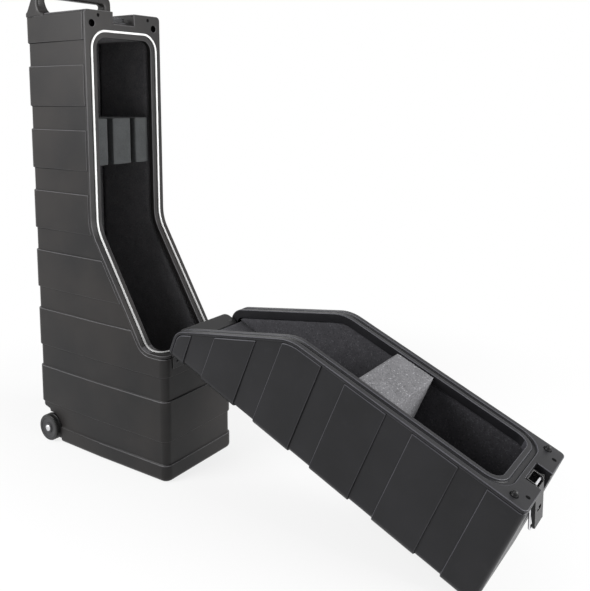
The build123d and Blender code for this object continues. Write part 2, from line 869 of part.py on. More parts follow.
# Latch lever and wire loop, drawn folded flat and then hung down
lever_low = rod_z + lever_top_above_rod - lever_depth
lever_high = rod_z + lever_top_above_rod
with BuildPart() as lever_closed:
    with BuildSketch(Plane.YZ.offset(-lever_width / 2)) as lever_profile:
        with BuildLine():
            Polyline(
                (rod_y + lever_nose, lever_low + lever_nose), (rod_y + lever_nose, lever_high),
                (rod_y - lever_length, lever_high), (rod_y - lever_length, lever_high - lever_tip_depth),
                (loop_pivot_y - lever_nose, lever_low), (rod_y, lever_low), close=True,
            )
        make_face()
    extrude(amount=lever_width)
    inner_half = lever_width / 2 - lever_wall
    with Locations((0, rod_y, (lever_low + lever_high) / 2 - lever_wall)):
        Box(2 * inner_half, 2 * (lever_length - lever_wall), lever_depth, mode=Mode.SUBTRACT)
    add(box_between((-inner_half, rod_y - ear_round - rod_end, lever_low),
                    (inner_half, rod_y + lever_length, lever_high + lever_wall)), mode=Mode.SUBTRACT)
    with BuildSketch(Plane.YZ.offset(-lever_width)):
        with Locations((rod_y, rod_z)):
            Circle(rod_radius + rod_clearance)
        with Locations((loop_pivot_y, loop_pivot_z)):
            Circle(loop_wire_radius + loop_trunnion_clearance)
    extrude(amount=2 * lever_width, mode=Mode.SUBTRACT)
    with BuildSketch(Plane.XY.offset(lever_high)):
        with Locations((0, rod_y - lever_window_from_rod)):
            SlotOverall(lever_window_length, lever_window_width)
    extrude(amount=-2 * lever_wall, mode=Mode.SUBTRACT)

with BuildPart() as loop_closed:
    with BuildLine() as wire:
        inner = lever_width / 2 - lever_wall
        bend = loop_leg_half - lever_width / 2 - loop_bend_gap
        far_y = loop_pivot_y - loop_length
        leg_points = (
            (inner, loop_pivot_y), (loop_leg_half - bend, loop_pivot_y), (loop_leg_half, loop_pivot_y - bend),
            (loop_leg_half, far_y + bend), (loop_leg_half - bend, far_y),
        )
        left_leg = [(-x, y, loop_pivot_z) for x, y in leg_points]
        right_leg = [(x, y, loop_pivot_z) for x, y in reversed(leg_points)]
        Polyline(*left_leg, *right_leg)
    with BuildSketch(Plane(origin=wire.line @ 0, z_dir=wire.line % 0)):
        RegularPolygon(loop_wire_radius, loop_wire_sides)
    sweep(transition=Transition.RIGHT)

rod_axis = Axis((0, rod_y, rod_z), (1, 0, 0))
hang_turn = lever_hang_angle - 180

base_parts = {
    "base_shell": base_shell.part,
    "top_handle": top_handle.part,
    "seal_strip": seal_strip.part,
    "base_floor_pad": base_floor_pad.part,
    "base_back_pad": base_back_pad.part,
    "base_side_pads": base_side_pads.part,
    "base_top_pad": base_top_pad.part,
    "base_front_pad": base_front_pad.part,
    "neck_block": neck_block.part,
    "latch_keeper": latch_keeper.part,
    "keeper_rivets": keeper_rivets.part,
    "hinge_base_leaf": hinge_base_leaf.part,
    "hinge_base_rivets": hinge_base_rivets.part,
    "hinge_pin": hinge_pin.part,
}
lid_parts = {
    "lid_shell": lid_shell.part,
    "locator_pegs": locator_pegs.part,
    "lid_floor_pad": lid_floor_pad.part,
    "lid_side_pads": lid_side_pads.part,
    "lid_top_pad": lid_top_pad.part,
    "lid_block": lid_block.part,
    "hinge_flap": hinge_flap.part,
    "flap_screws": flap_screws.part,
    "hinge_lid_leaf": hinge_lid_leaf.part,
    "hinge_lid_rivets": hinge_lid_rivets.part,
    "latch_bracket": latch_bracket.part,
    "bracket_rivets": bracket_rivets.part,
    "latch_rod": latch_rod.part,
    "latch_lever": lever_closed.part.rotate(rod_axis, hang_turn),
    "latch_loop": loop_closed.part.rotate(rod_axis, hang_turn),
}

os.makedirs("parts", exist_ok=True)
pieces = dict(base_parts)
pieces.update(wheel_parts)
for name, piece in lid_parts.items():
    pieces[name] = piece.rotate(hinge_axis, lid_open_angle)
for name, piece in pieces.items():
    piece.label = name
    export_step(piece, "parts/" + name + ".step")
print("lid opens by", round(lid_open_angle, 3), "degrees")
print("latch rod at", rod_y, rod_z, "loop pivot at", loop_pivot_y, loop_pivot_z)
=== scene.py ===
"""Upright moulded instrument case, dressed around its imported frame."""
import json
import math

import bmesh
import bpy
from mathutils import Matrix, Vector, noise
from mathutils.bvhtree import BVHTree

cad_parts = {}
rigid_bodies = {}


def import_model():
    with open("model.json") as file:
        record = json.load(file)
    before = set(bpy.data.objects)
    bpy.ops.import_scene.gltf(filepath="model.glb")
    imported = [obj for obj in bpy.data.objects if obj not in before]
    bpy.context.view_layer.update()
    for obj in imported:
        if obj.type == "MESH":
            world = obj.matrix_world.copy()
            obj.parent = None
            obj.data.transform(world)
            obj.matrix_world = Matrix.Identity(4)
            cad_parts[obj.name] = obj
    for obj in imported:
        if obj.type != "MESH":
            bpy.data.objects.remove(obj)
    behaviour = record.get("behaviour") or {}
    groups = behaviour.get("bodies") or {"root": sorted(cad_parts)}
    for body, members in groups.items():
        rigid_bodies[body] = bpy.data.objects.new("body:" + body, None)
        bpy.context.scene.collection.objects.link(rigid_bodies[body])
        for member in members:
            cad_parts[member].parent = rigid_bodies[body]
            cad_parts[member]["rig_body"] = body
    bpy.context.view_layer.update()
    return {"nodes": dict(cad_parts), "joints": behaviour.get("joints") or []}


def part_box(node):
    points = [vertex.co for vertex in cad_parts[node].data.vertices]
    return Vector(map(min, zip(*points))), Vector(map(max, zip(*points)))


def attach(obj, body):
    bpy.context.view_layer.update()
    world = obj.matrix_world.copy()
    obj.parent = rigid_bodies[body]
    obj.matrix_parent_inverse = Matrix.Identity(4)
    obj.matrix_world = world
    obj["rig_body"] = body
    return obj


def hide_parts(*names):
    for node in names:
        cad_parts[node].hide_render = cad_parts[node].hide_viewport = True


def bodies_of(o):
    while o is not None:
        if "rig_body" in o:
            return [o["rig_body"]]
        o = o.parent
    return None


bl_info = {
    "name": "Upright Instrument Case",
    "version": (1, 0, 0),
    "blender": (4, 5, 0),
    "location": "View3D > Sidebar > Case",
    "description": "Builds the shells, lining, seal, hardware, wheels and stage of an upright case",
    "category": "Object",
}

# AHEAD is the way the opening faces. Points nearer than MERGE are one point, and faces lie level
# where the product of their normals is over LEVEL. A flat strip is a step between two bands where
# it is narrower than STEP_WIDTH and this share of its normal, STEP_FACING, lies along the case.
# The last table gives each half the side the light falls from: corners facing it get a painted highlight,
# corners facing away painted shade.
ACROSS = Vector((1.0, 0.0, 0.0))
UP = Vector((0.0, 0.0, 1.0))
AHEAD = Vector((0.0, -1.0, 0.0))
MERGE = 1e-5
LEVEL = 0.9999
STEP_WIDTH = 0.006
STEP_FACING = 0.7
LIGHT_SIDES = {
    "base": Vector((-0.6, -0.45, 0.66)).normalized(),
    "lid": Vector((-0.6, 0.1, 0.8)).normalized(),
}
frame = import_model()
nodes = frame["nodes"]
joints = {joint["name"]: joint for joint in frame["joints"]}
finishes = {}


def lid_turn():
    """Turn that takes a piece drawn on the closed lid to where the lid lies open."""
    joint = joints["lid_hinge"]
    pivot = Matrix.Translation(Vector(joint["pos_m"]))
    turn = Matrix.Rotation(-math.radians(joint["range_deg"][1]), 4, Vector(joint["axis"]))
    return pivot @ turn @ pivot.inverted()


class Socket:
    """Value in a node tree on which plain arithmetic adds Math nodes."""

    def __init__(self, graph, link):
        self.graph = graph
        self.link = link

    def math(self, operation, *values):
        return self.graph.node("ShaderNodeMath", {"operation": operation}, dict(enumerate(values)))

    def __add__(self, other):
        return self.math("ADD", self, other)

    def __radd__(self, other):
        return self.math("ADD", other, self)

    def __sub__(self, other):
        return self.math("SUBTRACT", self, other)

    def __rsub__(self, other):
        return self.math("SUBTRACT", other, self)

    def __mul__(self, other):
        return self.math("MULTIPLY", self, other)

    def __rmul__(self, other):
        return self.math("MULTIPLY", other, self)

    def at_least(self, other):
        return self.math("MAXIMUM", self, other)


class NodeGraph:
    """Node tree built by calls that take a node's type, its settings and its inputs."""

    def __init__(self, tree):
        self.tree = tree
        tree.nodes.clear()

    def raw(self, kind):
        return self.tree.nodes.new(kind)

    def join(self, start, end):
        self.tree.links.new(start, end)

    def node(self, kind, settings=None, inputs=None, output=0):
        """Node of a type, with its settings made first and then its inputs set or linked."""
        made = self.raw(kind)
        for key, value in (settings or {}).items():
            setattr(made, key, value)
        self.fill(made.inputs, inputs or {})
        return Socket(self, made.outputs[output])

    def fill(self, sockets, values):
        """Sets or links inputs, each by its name or number."""
        for key, value in values.items():
            if isinstance(value, Socket):
                self.join(value.link, sockets[key])
            else:
                sockets[key].default_value = value

    def split(self, vector):
        """The three coordinates of a vector."""
        made = self.raw("ShaderNodeSeparateXYZ")
        self.join(vector.link, made.inputs[0])
        return [Socket(self, output) for output in made.outputs]


class Graph(NodeGraph):
    """Shader tree of one material."""

    def __init__(self, name):
        self.material = bpy.data.materials.new(name)
        self.material.use_nodes = True
        super().__init__(self.material.node_tree)
        self.shader = self.raw("ShaderNodeBsdfPrincipled")
        self.output = self.raw("ShaderNodeOutputMaterial")
        self.join(self.shader.outputs["BSDF"], self.output.inputs["Surface"])

    def spot(self):
        """Object coordinates in metres."""
        return self.node("ShaderNodeTexCoord", output="Object")

    def place(self, scale=(1, 1, 1), turn=(0, 0, 0)):
        """Object coordinates stretched or turned by a Mapping node."""
        return self.node("ShaderNodeMapping", {}, {"Vector": self.spot(), "Scale": scale, "Rotation": turn})

    def noise(self, size, detail=3.0, rough=0.55, where=None):
        """Cloudy noise whose features are about size metres across."""
        where = where or self.place()
        return self.node("ShaderNodeTexNoise", {}, {
            "Vector": where, "Scale": 1 / size, "Detail": detail, "Roughness": rough})

    def cells(self, size, feature="F1"):
        """Cellular pattern with cells about size metres across."""
        return self.node("ShaderNodeTexVoronoi", {"feature": feature}, {
            "Vector": self.place(), "Scale": 1 / size})

    def attribute(self, name):
        """Value that a piece carries on its own mesh."""
        return self.node("ShaderNodeAttribute", {"attribute_name": name}, {}, "Fac")

    def height(self):
        """Height above the floor at rest, in metres."""
        return self.split(self.spot())[2]

    def step(self, value, low, high):
        """Smooth change from 0 to 1 as a value goes from low to high."""
        return self.node("ShaderNodeMapRange", {"interpolation_type": "SMOOTHSTEP"}, {
            "Value": value, "From Min": low, "From Max": high})

    def blend(self, factor, first, second):
        """Mix of two colours."""
        return self.node("ShaderNodeMix", {"data_type": "RGBA"}, {0: factor, 6: first, 7: second}, 2)

    def bump(self, height, distance, strength):
        """Surface direction from a height, its full height being distance in metres."""
        return self.node("ShaderNodeBump", {}, {
            "Height": height, "Distance": distance, "Strength": strength})

    def finish(self, values):
        """Sets or links the shader's sockets and returns the material."""
        self.fill(self.shader.inputs, values)
        return self.material


class PieceTree(NodeGraph):
    """Geometry node tree with named inputs for its sizes, which ends in one plain painted mesh."""

    def __init__(self, name, sizes):
        super().__init__(bpy.data.node_groups.new(name, "GeometryNodeTree"))
        sockets = self.tree.interface
        sockets.new_socket("Geometry", in_out="INPUT", socket_type="NodeSocketGeometry")
        sockets.new_socket("Geometry", in_out="OUTPUT", socket_type="NodeSocketGeometry")
        for label, value in sizes.items():
            kind = "NodeSocketInt" if isinstance(value, int) else "NodeSocketFloat"
            sockets.new_socket(label, in_out="INPUT", socket_type=kind).default_value = value
        sockets.new_socket("Material", in_out="INPUT", socket_type="NodeSocketMaterial")
        self.inlet = self.raw("NodeGroupInput")
        self.outlet = self.raw("NodeGroupOutput")

    def given(self, label):
        return Socket(self, self.inlet.outputs[label])

    def facing(self):
        """Direction that each point of the source mesh carries."""
        return self.node("GeometryNodeInputNamedAttribute", {"data_type": "FLOAT_VECTOR"}, {
            "Name": "facing"})

    def upright(self):
        """Rotation that turns Z to the carried direction."""
        return self.node("FunctionNodeAlignRotationToVector", {"axis": "Z"}, {"Vector": self.facing()})

    def spot(self):
        """Position split into its three coordinates."""
        return self.split(self.node("GeometryNodeInputPosition"))

    def repeat(self, piece, turn):
        """Ends the tree in one turned piece on each point."""
        self.close(self.node("GeometryNodeInstanceOnPoints", {}, {
            "Points": self.given("Geometry"), "Instance": piece, "Rotation": turn}))

    def close(self, geometry):
        """Ends the tree in real geometry with its material."""
        real = self.node("GeometryNodeRealizeInstances", {}, {"Geometry": geometry})
        painted = self.node("GeometryNodeSetMaterial", {}, {
            "Geometry": real, "Material": self.given("Material")})
        self.join(painted.link, self.outlet.inputs["Geometry"])

    def run(self, source, sizes, finish):
        """Plain mesh that the tree makes from a source mesh."""
        holder = new_object(self.tree.name, source)
        modifier = holder.modifiers.new("build", "NODES")
        modifier.node_group = self.tree
        given = dict(sizes, Material=finishes[finish])
        for item in self.tree.interface.items_tree:
            if item.in_out == "INPUT" and item.name in given:
                modifier[item.identifier] = given[item.name]
        return baked(holder)


def new_object(name, data):
    """Object in the scene that holds a mesh, curve, light or camera."""
    made = bpy.data.objects.new(name, data)
    bpy.context.scene.collection.objects.link(made)
    return made


def baked(holder):
    """Plain mesh of an object as it is evaluated, the object itself removed."""
    bpy.context.view_layer.update()
    graph = bpy.context.evaluated_depsgraph_get()
    mesh = bpy.data.meshes.new_from_object(holder.evaluated_get(graph))
    holder.modifiers.clear()
    bpy.data.objects.remove(holder)
    return mesh


def shade(colour, factor):
    """A colour made lighter or darker, with full alpha."""
    return tuple(min(channel * factor, 1.0) for channel in colour[:3]) + (1.0,)


def moulded_plastic(name, colour, cloud, grain, roughness):
    """Dark moulded plastic: pebble grain, flow clouds, rubbed patches, corners painted pale as highlight and
    wear, and painted shade in inward corners.
    """
    graph = Graph(name)
    clouds = graph.noise(0.22, 3.0)
    streaks = graph.noise(0.09, 4.0, 0.6, graph.place((1.0, 1.0, 0.25)))
    rubs = graph.step(graph.noise(0.035, 5.0, 0.65), 0.56, 0.74)
    scuffs = graph.step(graph.noise(0.006, 4.0, 0.7, graph.place((0.2, 1.0, 1.0))), 0.64, 0.72)
    highlight_and_wear = graph.attribute("worn_corner") * (graph.noise(0.05, 4.0) * 0.7 + 0.45)
    painted_shade = graph.attribute("inner_corner") * 0.92
    pebbles = graph.cells(grain, "SMOOTH_F1")
    fine = graph.noise(grain * 0.6, 2.0)
    tone = graph.blend(graph.step(clouds, 0.3, 0.7), shade(colour, 0.72), cloud)
    tone = graph.blend(rubs * 0.3, tone, shade(colour, 1.7))
    tone = graph.blend(scuffs * 0.25, tone, shade(colour, 2.4))
    # Painted highlight and wear: corners facing the light go up to eight times paler.
    tone = graph.blend(highlight_and_wear, tone, shade(colour, 8.0))
    # Painted shade: inward corners and corners facing away from the light go almost black.
    tone = graph.blend(painted_shade, tone, shade(colour, 0.12))
    height = pebbles * 0.7 + fine * 0.3
    return graph.finish({
        "Base Color": tone,
        "Roughness": streaks * 0.14 + (roughness - 0.07) + rubs * 0.05 + painted_shade * 0.4,
        "Normal": graph.bump(height, grain * 0.16, 0.4),
        "Specular IOR Level": 0.24,
    })


def smooth_plastic(name, colour, roughness):
    """Smooth moulded plastic with faint scuffs, its rounded corners painted paler as highlight and wear."""
    graph = Graph(name)
    scuffs = graph.noise(0.004, 4.0, 0.6, graph.place((1.0, 4.0, 1.0)))
    clouds = graph.noise(0.03, 2.0)
    tone = graph.blend(clouds, shade(colour, 0.88), shade(colour, 1.15))
    # Painted highlight and wear: rounded corners go up to three times paler.
    tone = graph.blend(graph.attribute("worn_corner") * 0.6, tone, shade(colour, 3.0))
    return graph.finish({
        "Base Color": tone,
        "Roughness": scuffs * 0.16 + (roughness - 0.08),
        "Normal": graph.bump(graph.noise(0.0012, 2.0), 0.00008, 0.5),
        "Specular IOR Level": 0.25,
    })


def dark_hollow(name, colour):
    """Near-black surface with a little dust: painted shade inside small holes and sockets and round the
    pegs' feet.
    """
    graph = Graph(name)
    dust = graph.step(graph.noise(0.002, 3.0), 0.55, 0.8)
    return graph.finish({
        "Base Color": graph.blend(dust * 0.5, colour, shade(colour, 4.0)),
        "Roughness": graph.noise(0.001, 2.0) * 0.2 + 0.7,
        "Specular IOR Level": 0.05,
    })


def open_foam(name, colour, cell, fleck_size, fleck_share):
    """Foam with open cells: fine pits, a soft mottle, and pale and dark flecks."""
    graph = Graph(name)
    dark, light = shade(colour, 0.72), shade(colour, 1.3)
    mottle = graph.noise(0.035, 4.0, 0.6)
    pits = graph.cells(cell)
    fleck = graph.noise(fleck_size, 2.0, 0.7)
    bright = graph.step(fleck, 0.6, 0.7)
    deep = graph.step(fleck, 0.44, 0.32)
    threads = graph.noise(0.0035, 3.0, 0.6, graph.place((1.0, 0.35, 1.0), (0.4, 0.3, 0.7)))
    lint = graph.step(threads, 0.7, 0.76)
    tone = graph.blend(mottle, dark, light)
    tone = graph.blend(bright * fleck_share, tone, shade(light, 2.4))
    tone = graph.blend(deep * 0.55, tone, shade(dark, 0.35))
    tone = graph.blend(lint * fleck_share, tone, shade(light, 3.0))
    height = pits * 0.6 + fleck * 0.8
    return graph.finish({
        "Base Color": tone,
        "Roughness": 0.95,
        "Normal": graph.bump(height, cell * 0.5, 0.8),
        "Sheen Weight": 0.05,
        "Sheen Roughness": 0.6,
        "Specular IOR Level": 0.08,
    })


def seal_rubber(name, colour):
    """Pale extruded sealing strip with dust along its crown and painted shade towards the bottom of the
    case.
    """
    graph = Graph(name)
    dust = graph.step(graph.noise(0.012, 4.0, 0.6), 0.5, 0.8)
    # Painted shade: the strip darkens from 0.72 m height down to 0.5 m and below.
    lower_shade = graph.step(graph.height(), 0.72, 0.5)
    tone = graph.blend(lower_shade * 0.8, colour, shade(colour, 0.42))
    return graph.finish({
        "Base Color": graph.blend(dust * 0.35, tone, shade(colour, 0.5)),
        "Roughness": graph.noise(0.005, 2.0) * 0.2 + 0.34,
        "Normal": graph.bump(graph.noise(0.0016, 2.0), 0.0001, 0.5),
    })


def bright_steel(name, colour, roughness):
    """Plated steel with fine rolling lines and fingerprints."""
    graph = Graph(name)
    lines = graph.noise(0.0006, 2.0, 0.5, graph.place((0.15, 1.0, 1.0)))
    prints = graph.step(graph.noise(0.009, 3.0), 0.45, 0.75)
    return graph.finish({
        "Base Color": graph.blend(prints, colour, shade(colour, 0.8)),
        "Metallic": 1.0,
        "Roughness": lines * 0.12 + prints * 0.12 + roughness,
        "Normal": graph.bump(lines, 0.00003, 0.4),
    })


def coated_steel(name, colour):
    """Black coated steel, its coat a little lumpy and rubbed through to bare metal in spots, its corners
    painted bright as highlight and wear.
    """
    graph = Graph(name)
    orange_peel = graph.noise(0.0018, 2.0)
    spots = graph.step(graph.noise(0.006, 5.0, 0.7), 0.66, 0.76)
    # Wear in random spots, and corners painted bright and partly metallic as highlight and wear.
    highlight_and_wear = spots.at_least(graph.attribute("worn_corner") * 0.35)
    return graph.finish({
        "Base Color": graph.blend(highlight_and_wear * 0.7, colour, (0.4, 0.39, 0.38, 1.0)),
        "Metallic": highlight_and_wear * 0.7,
        "Roughness": orange_peel * 0.15 + 0.3,
        "Normal": graph.bump(orange_peel, 0.00012, 0.6),
        "Specular IOR Level": 0.3,
    })


def tread_rubber(name, colour):
    """Wheel rubber with road dust."""
    graph = Graph(name)
    dust = graph.step(graph.noise(0.01, 5.0, 0.65), 0.5, 0.75)
    return graph.finish({
        "Base Color": graph.blend(dust * 0.3, colour, shade(colour, 2.5)),
        "Roughness": dust * 0.25 + 0.38,
        "Normal": graph.bump(graph.noise(0.0009, 3.0), 0.0001, 0.6),
    })


def colour_property(name, description, red, green, blue):
    return bpy.props.FloatVectorProperty(
        name=name, description=description, subtype="COLOR", size=4, default=(red, green, blue, 1.0))


def length_property(name, description, default):
    return bpy.props.FloatProperty(
        name=name, description=description, subtype="DISTANCE", unit="LENGTH", default=default)


def power_property(name, description, default):
    return bpy.props.FloatProperty(name=name, description=description, unit="POWER", default=default)


class CaseColours(bpy.types.PropertyGroup):
    """Colours of the finishes."""

    shell: colour_property("Base shell", "Moulded plastic of the base and its handle", 0.014, 0.0137, 0.0144)
    # The lid's plastic is the base's made cooler and a little darker; the darkening is painted shade of the
    # lower-lying lid.
    lid_shell: colour_property("Lid shell", "Moulded plastic of the lid", 0.0122, 0.0121, 0.0138)
    seal: colour_property("Seal", "Sealing strip", 0.78, 0.78, 0.775)
    dark_foam: colour_property("Dark foam", "Lining of the base", 0.1, 0.098, 0.103)
    lid_foam: colour_property("Lid foam", "Lining of the lid", 0.058, 0.057, 0.063)
    neck_foam: colour_property("Base block foam", "Foam block across the base", 0.05, 0.0525, 0.0535)
    pale_foam: colour_property("Lid block foam", "Foam block across the lid", 0.138, 0.137, 0.144)
    steel: colour_property("Bright steel", "Wire loop, rod, pins, axles and wheel caps", 0.72, 0.72, 0.74)
    plating: colour_property("Dark plating", "Keeper, bracket rivets and flap screws", 0.075, 0.075, 0.078)
    coat: colour_property("Black coat", "Bracket, lever, hinge leaves and their rivets", 0.012, 0.012, 0.013)
    wheel_disc: colour_property("Wheel disc", "Plastic of the wheel discs", 0.045, 0.045, 0.047)
    tread: colour_property("Tread", "Rubber of the tyres", 0.014, 0.014, 0.014)


class CaseSizes(bpy.types.PropertyGroup):
    """Sizes of what is rounded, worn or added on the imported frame."""

    shell_round: length_property("Shell corner", "Rounding of the shells' moulded corners", 0.0016)
    shell_fill: length_property("Shell inner corner", "Fill of the inward corners between bands", 0.002)
    metal_round: length_property("Metal corner", "Rounding of sheet metal corners", 0.0005)
    foam_voxel: length_property("Foam voxel", "Voxel size of the foam pads", 0.006)
    foam_wave: length_property("Foam wave", "How far a pad's faces sink between high spots", 0.0016)
    block_voxel: length_property("Block voxel", "Voxel size of the foam blocks", 0.0035)
    seal_crown: length_property("Seal crown", "Corner radius of the sealing strip's crown", 0.0019)
    stud_spread: length_property("Stud spread", "Distance of the rim's studs from the middle", 0.0895)
    stud_drop: length_property("Stud drop", "Distance of the rim's studs below the top", 0.0128)
    stud_radius: length_property("Stud radius", "Radius of the rim's studs", 0.0048)
    tread_blocks: bpy.props.IntProperty(
        name="Tread blocks", description="Blocks in each of a wheel's two rows", default=44)


class CaseStage(bpy.types.PropertyGroup):
    """Camera and lights."""

    lens: bpy.props.FloatProperty(
        name="Lens", description="Focal length on a 36 mm frame", default=45.167, subtype="DISTANCE_CAMERA")
    camera_place: bpy.props.FloatVectorProperty(
        name="Camera", description="Camera position", default=(-1.4376, -1.54765, 0.9929), subtype="XYZ")
    camera_tilt: bpy.props.FloatProperty(
        name="Tilt", description="Camera pitch below level", default=math.radians(7.03), subtype="ANGLE")
    camera_turn: bpy.props.FloatProperty(
        name="Turn", description="Camera yaw from looking along +Y", default=math.radians(-55.63),
        subtype="ANGLE")
    camera_rise: bpy.props.FloatProperty(
        name="Vertical shift", description="Lens shift as a share of the frame", default=-0.1809)
    top_power: power_property("Top light", "Overhead softbox", 4.5)
    side_power: power_property("Side light", "Softbox at the upper left", 62.0)
    front_power: power_property("Front light", "Softbox in front of the opening", 124.0)


def make_finishes(colours):
    """Makes each material once."""
    shell, lid = tuple(colours.shell), tuple(colours.lid_shell)
    grain, roughness = 0.0013, 0.4
    warm = (shell[0] * 1.4, shell[1] * 1.28, shell[2] * 1.16, 1.0)
    finishes["base_shell"] = moulded_plastic("base_shell_plastic", shell, warm, grain, roughness)
    # The lid takes a darker, cooler copy of the base's plastic: the darkening is painted shade.
    finishes["lid_shell"] = moulded_plastic("lid_shell_plastic", lid, shade(lid, 1.2), grain, roughness)
    finishes["moulding"] = smooth_plastic("smooth_black_plastic", shade(shell, 0.8), 0.42)
    finishes["disc"] = smooth_plastic("wheel_disc_plastic", tuple(colours.wheel_disc), 0.42)
    # Painted shade for holes, sockets and peg seats: the shell's plastic at a tenth of its brightness; the
    # rim studs use it too.
    finishes["hollow"] = dark_hollow("dark_socket_plastic", shade(shell, 0.1))
    finishes["seal"] = seal_rubber("seal_rubber", tuple(colours.seal))
    finishes["tread"] = tread_rubber("tread_rubber", tuple(colours.tread))
    finishes["steel"] = bright_steel("bright_steel", tuple(colours.steel), 0.1)
    finishes["plating"] = bright_steel("dark_plated_steel", tuple(colours.plating), 0.2)
    finishes["coated"] = coated_steel("coated_steel", tuple(colours.coat))
    for key, cell, fleck_size, fleck_share in (
        ("dark_foam", 0.0016, 0.003, 0.3), ("neck_foam", 0.0018, 0.0026, 0.18),
        ("lid_foam", 0.0022, 0.0038, 0.5), ("pale_foam", 0.002, 0.0042, 0.75),
    ):
        finishes[key] = open_foam(key, getattr(colours, key), cell, fleck_size, fleck_share)


def paint(mesh, finish):
    """Gives a mesh one finish."""
    mesh.materials.clear()
    mesh.materials.append(finishes[finish])


def new_piece(name, mesh, body, finish, replaced=()):
    """Links a mesh as a piece that rides on a body and may stand for CAD nodes."""
    if not mesh.polygons:
        raise RuntimeError(name + " came out empty")
    paint(mesh, finish)
    piece = new_object(name, mesh)
    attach(piece, body)
    if replaced:
        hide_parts(*replaced)
    return piece


def body_of(node):
    """Body that a CAD node rides on."""
    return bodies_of(nodes[node])[0]


def merged_copy(node):
    """Editable copy of a CAD node with its doubled points merged."""
    made = bmesh.new()
    made.from_mesh(nodes[node].data)
    bmesh.ops.remove_doubles(made, verts=made.verts, dist=MERGE)
    return made


def to_mesh(made, name):
    """Mesh data from an edited copy."""
    mesh = bpy.data.meshes.new(name)
    made.to_mesh(mesh)
    made.free()
    return mesh


def with_modifier(mesh, kind, settings):
    """Mesh with one modifier applied to it."""
    holder = new_object("holder", mesh)
    modifier = holder.modifiers.new("change", kind)
    for key, value in settings.items():
        setattr(modifier, key, value)
    changed = baked(holder)
    bpy.data.meshes.remove(mesh)
    return changed


def remeshed(node, voxel, shrink=0.0):
    """Editable copy of a CAD node, drawn in a little and rebuilt from even voxels."""
    made = merged_copy(node)
    for vert in made.verts:
        vert.co -= vert.normal * shrink
    mesh = with_modifier(to_mesh(made, node), "REMESH", {"mode": "VOXEL", "voxel_size": voxel})
    made = bmesh.new()
    made.from_mesh(mesh)
    bpy.data.meshes.remove(mesh)
    return made


def smooth(made, verts, passes):
    """Evens out some points of an editable copy."""
    for _ in range(passes):
        bmesh.ops.smooth_vert(
            made, verts=verts, factor=0.5, use_axis_x=True, use_axis_y=True, use_axis_z=True)


def shaded(mesh, angle=35.0):
    """Mesh shaded smooth between its sharp edges, its flat faces kept flat."""
    mesh.shade_smooth()
    mesh.set_sharp_from_angle(angle=math.radians(angle))
    return with_modifier(mesh, "WEIGHTED_NORMAL", {"keep_sharp": True, "weight": 90})


def rounded_copy(node, width, segments=2, turn=30.0, fill=0.0):
    """Copy of a CAD node with rounded outward corners and, where wanted, filled inward corners.

    Their faces carry two masks for the finishes: outward corners painted pale as highlight and wear, and
    painted shade in filled inward corners and on corners that face away from the light.
    """
    made = merged_copy(node)
    surface = BVHTree.FromBMesh(made)
    # Outward rounds carry the mask of painted highlight and wear, inward fills the mask of painted shade.
    rounds = [("worn_corner", width, segments, 1.0)]
    if fill:
        up = lid_turn().to_3x3() @ UP if body_of(node) == "lid" else UP
        step = mark_steps(made, up)
        rounds.append(("inner_corner", fill, 1, -1.0))
    for label, reach, steps, side in rounds:
        mark = made.faces.layers.float.new(label)
        sharp = [edge for edge in made.edges
                 if edge.is_manifold and edge.calc_face_angle_signed(0.0) * side > math.radians(turn)]
        rounded = bmesh.ops.bevel(
            made, geom=sharp, offset=reach, offset_type="OFFSET", segments=steps, profile=0.5,
            affect="EDGES", clamp_overlap=False)
        for face in rounded["faces"]:
            face[mark] = 1.0
            if fill:
                face[step] = 0.0
    for vert in made.verts:
        nearest, _, _, distance = surface.find_nearest(vert.co)
        if distance > width / 2:
            vert.co = nearest
    if fill:
        paint_edge_light(made, step, LIGHT_SIDES[body_of(node)])
    return shaded(to_mesh(made, node + "_rounded"))


def islands(items, neighbours):
    """Groups of items that reach each other from neighbour to neighbour."""
    left = dict.fromkeys(items)
    groups = []
    while left:
        group = [left.popitem()[0]]
        for item in group:
            for other in neighbours(item):
                if other in left:
                    del left[other]
                    group.append(other)
        groups.append(group)
    return groups


def level_faces(face):
    """Faces beside a face that lie level with it."""
    return [other for line in face.edges for other in line.link_faces
            if other.normal.dot(face.normal) > LEVEL]


def mark_steps(made, up):
    """Marks the narrow flat steps between one band and the next, which face up or down the case."""
    mark = made.faces.layers.float.new("step")
    made.normal_update()
    for group in islands(made.faces, level_faces):
        lines = [line for face in group for line in face.edges]
        border = sum(line.calc_length() for line in lines if lines.count(line) == 1)
        area = sum(face.calc_area() for face in group)
        if 2 * area < STEP_WIDTH * border and abs(group[0].normal.dot(up)) > STEP_FACING:
            for face in group:
                face[mark] = 1.0
    return mark


def paint_edge_light(made, step, side):
    """Paints light by the side it falls from: corners and steps facing it keep a painted highlight, those
    facing away get painted shade, and other faces facing it lose their shade.
    """
    highlight_gain, shade_gain, margin = 1.1, 2.0, 0.1
    highlight_and_wear = made.faces.layers.float["worn_corner"]
    shade_layer = made.faces.layers.float["inner_corner"]
    made.normal_update()
    for face in made.faces:
        rise = face.normal.dot(side)
        if face[highlight_and_wear] or face[step]:
            face[highlight_and_wear] = min(1.0, max(0.0, rise * highlight_gain))
            face[shade_layer] = max(face[shade_layer], min(1.0, (-rise - margin) * shade_gain))
        elif rise > margin:
            face[shade_layer] = 0.0


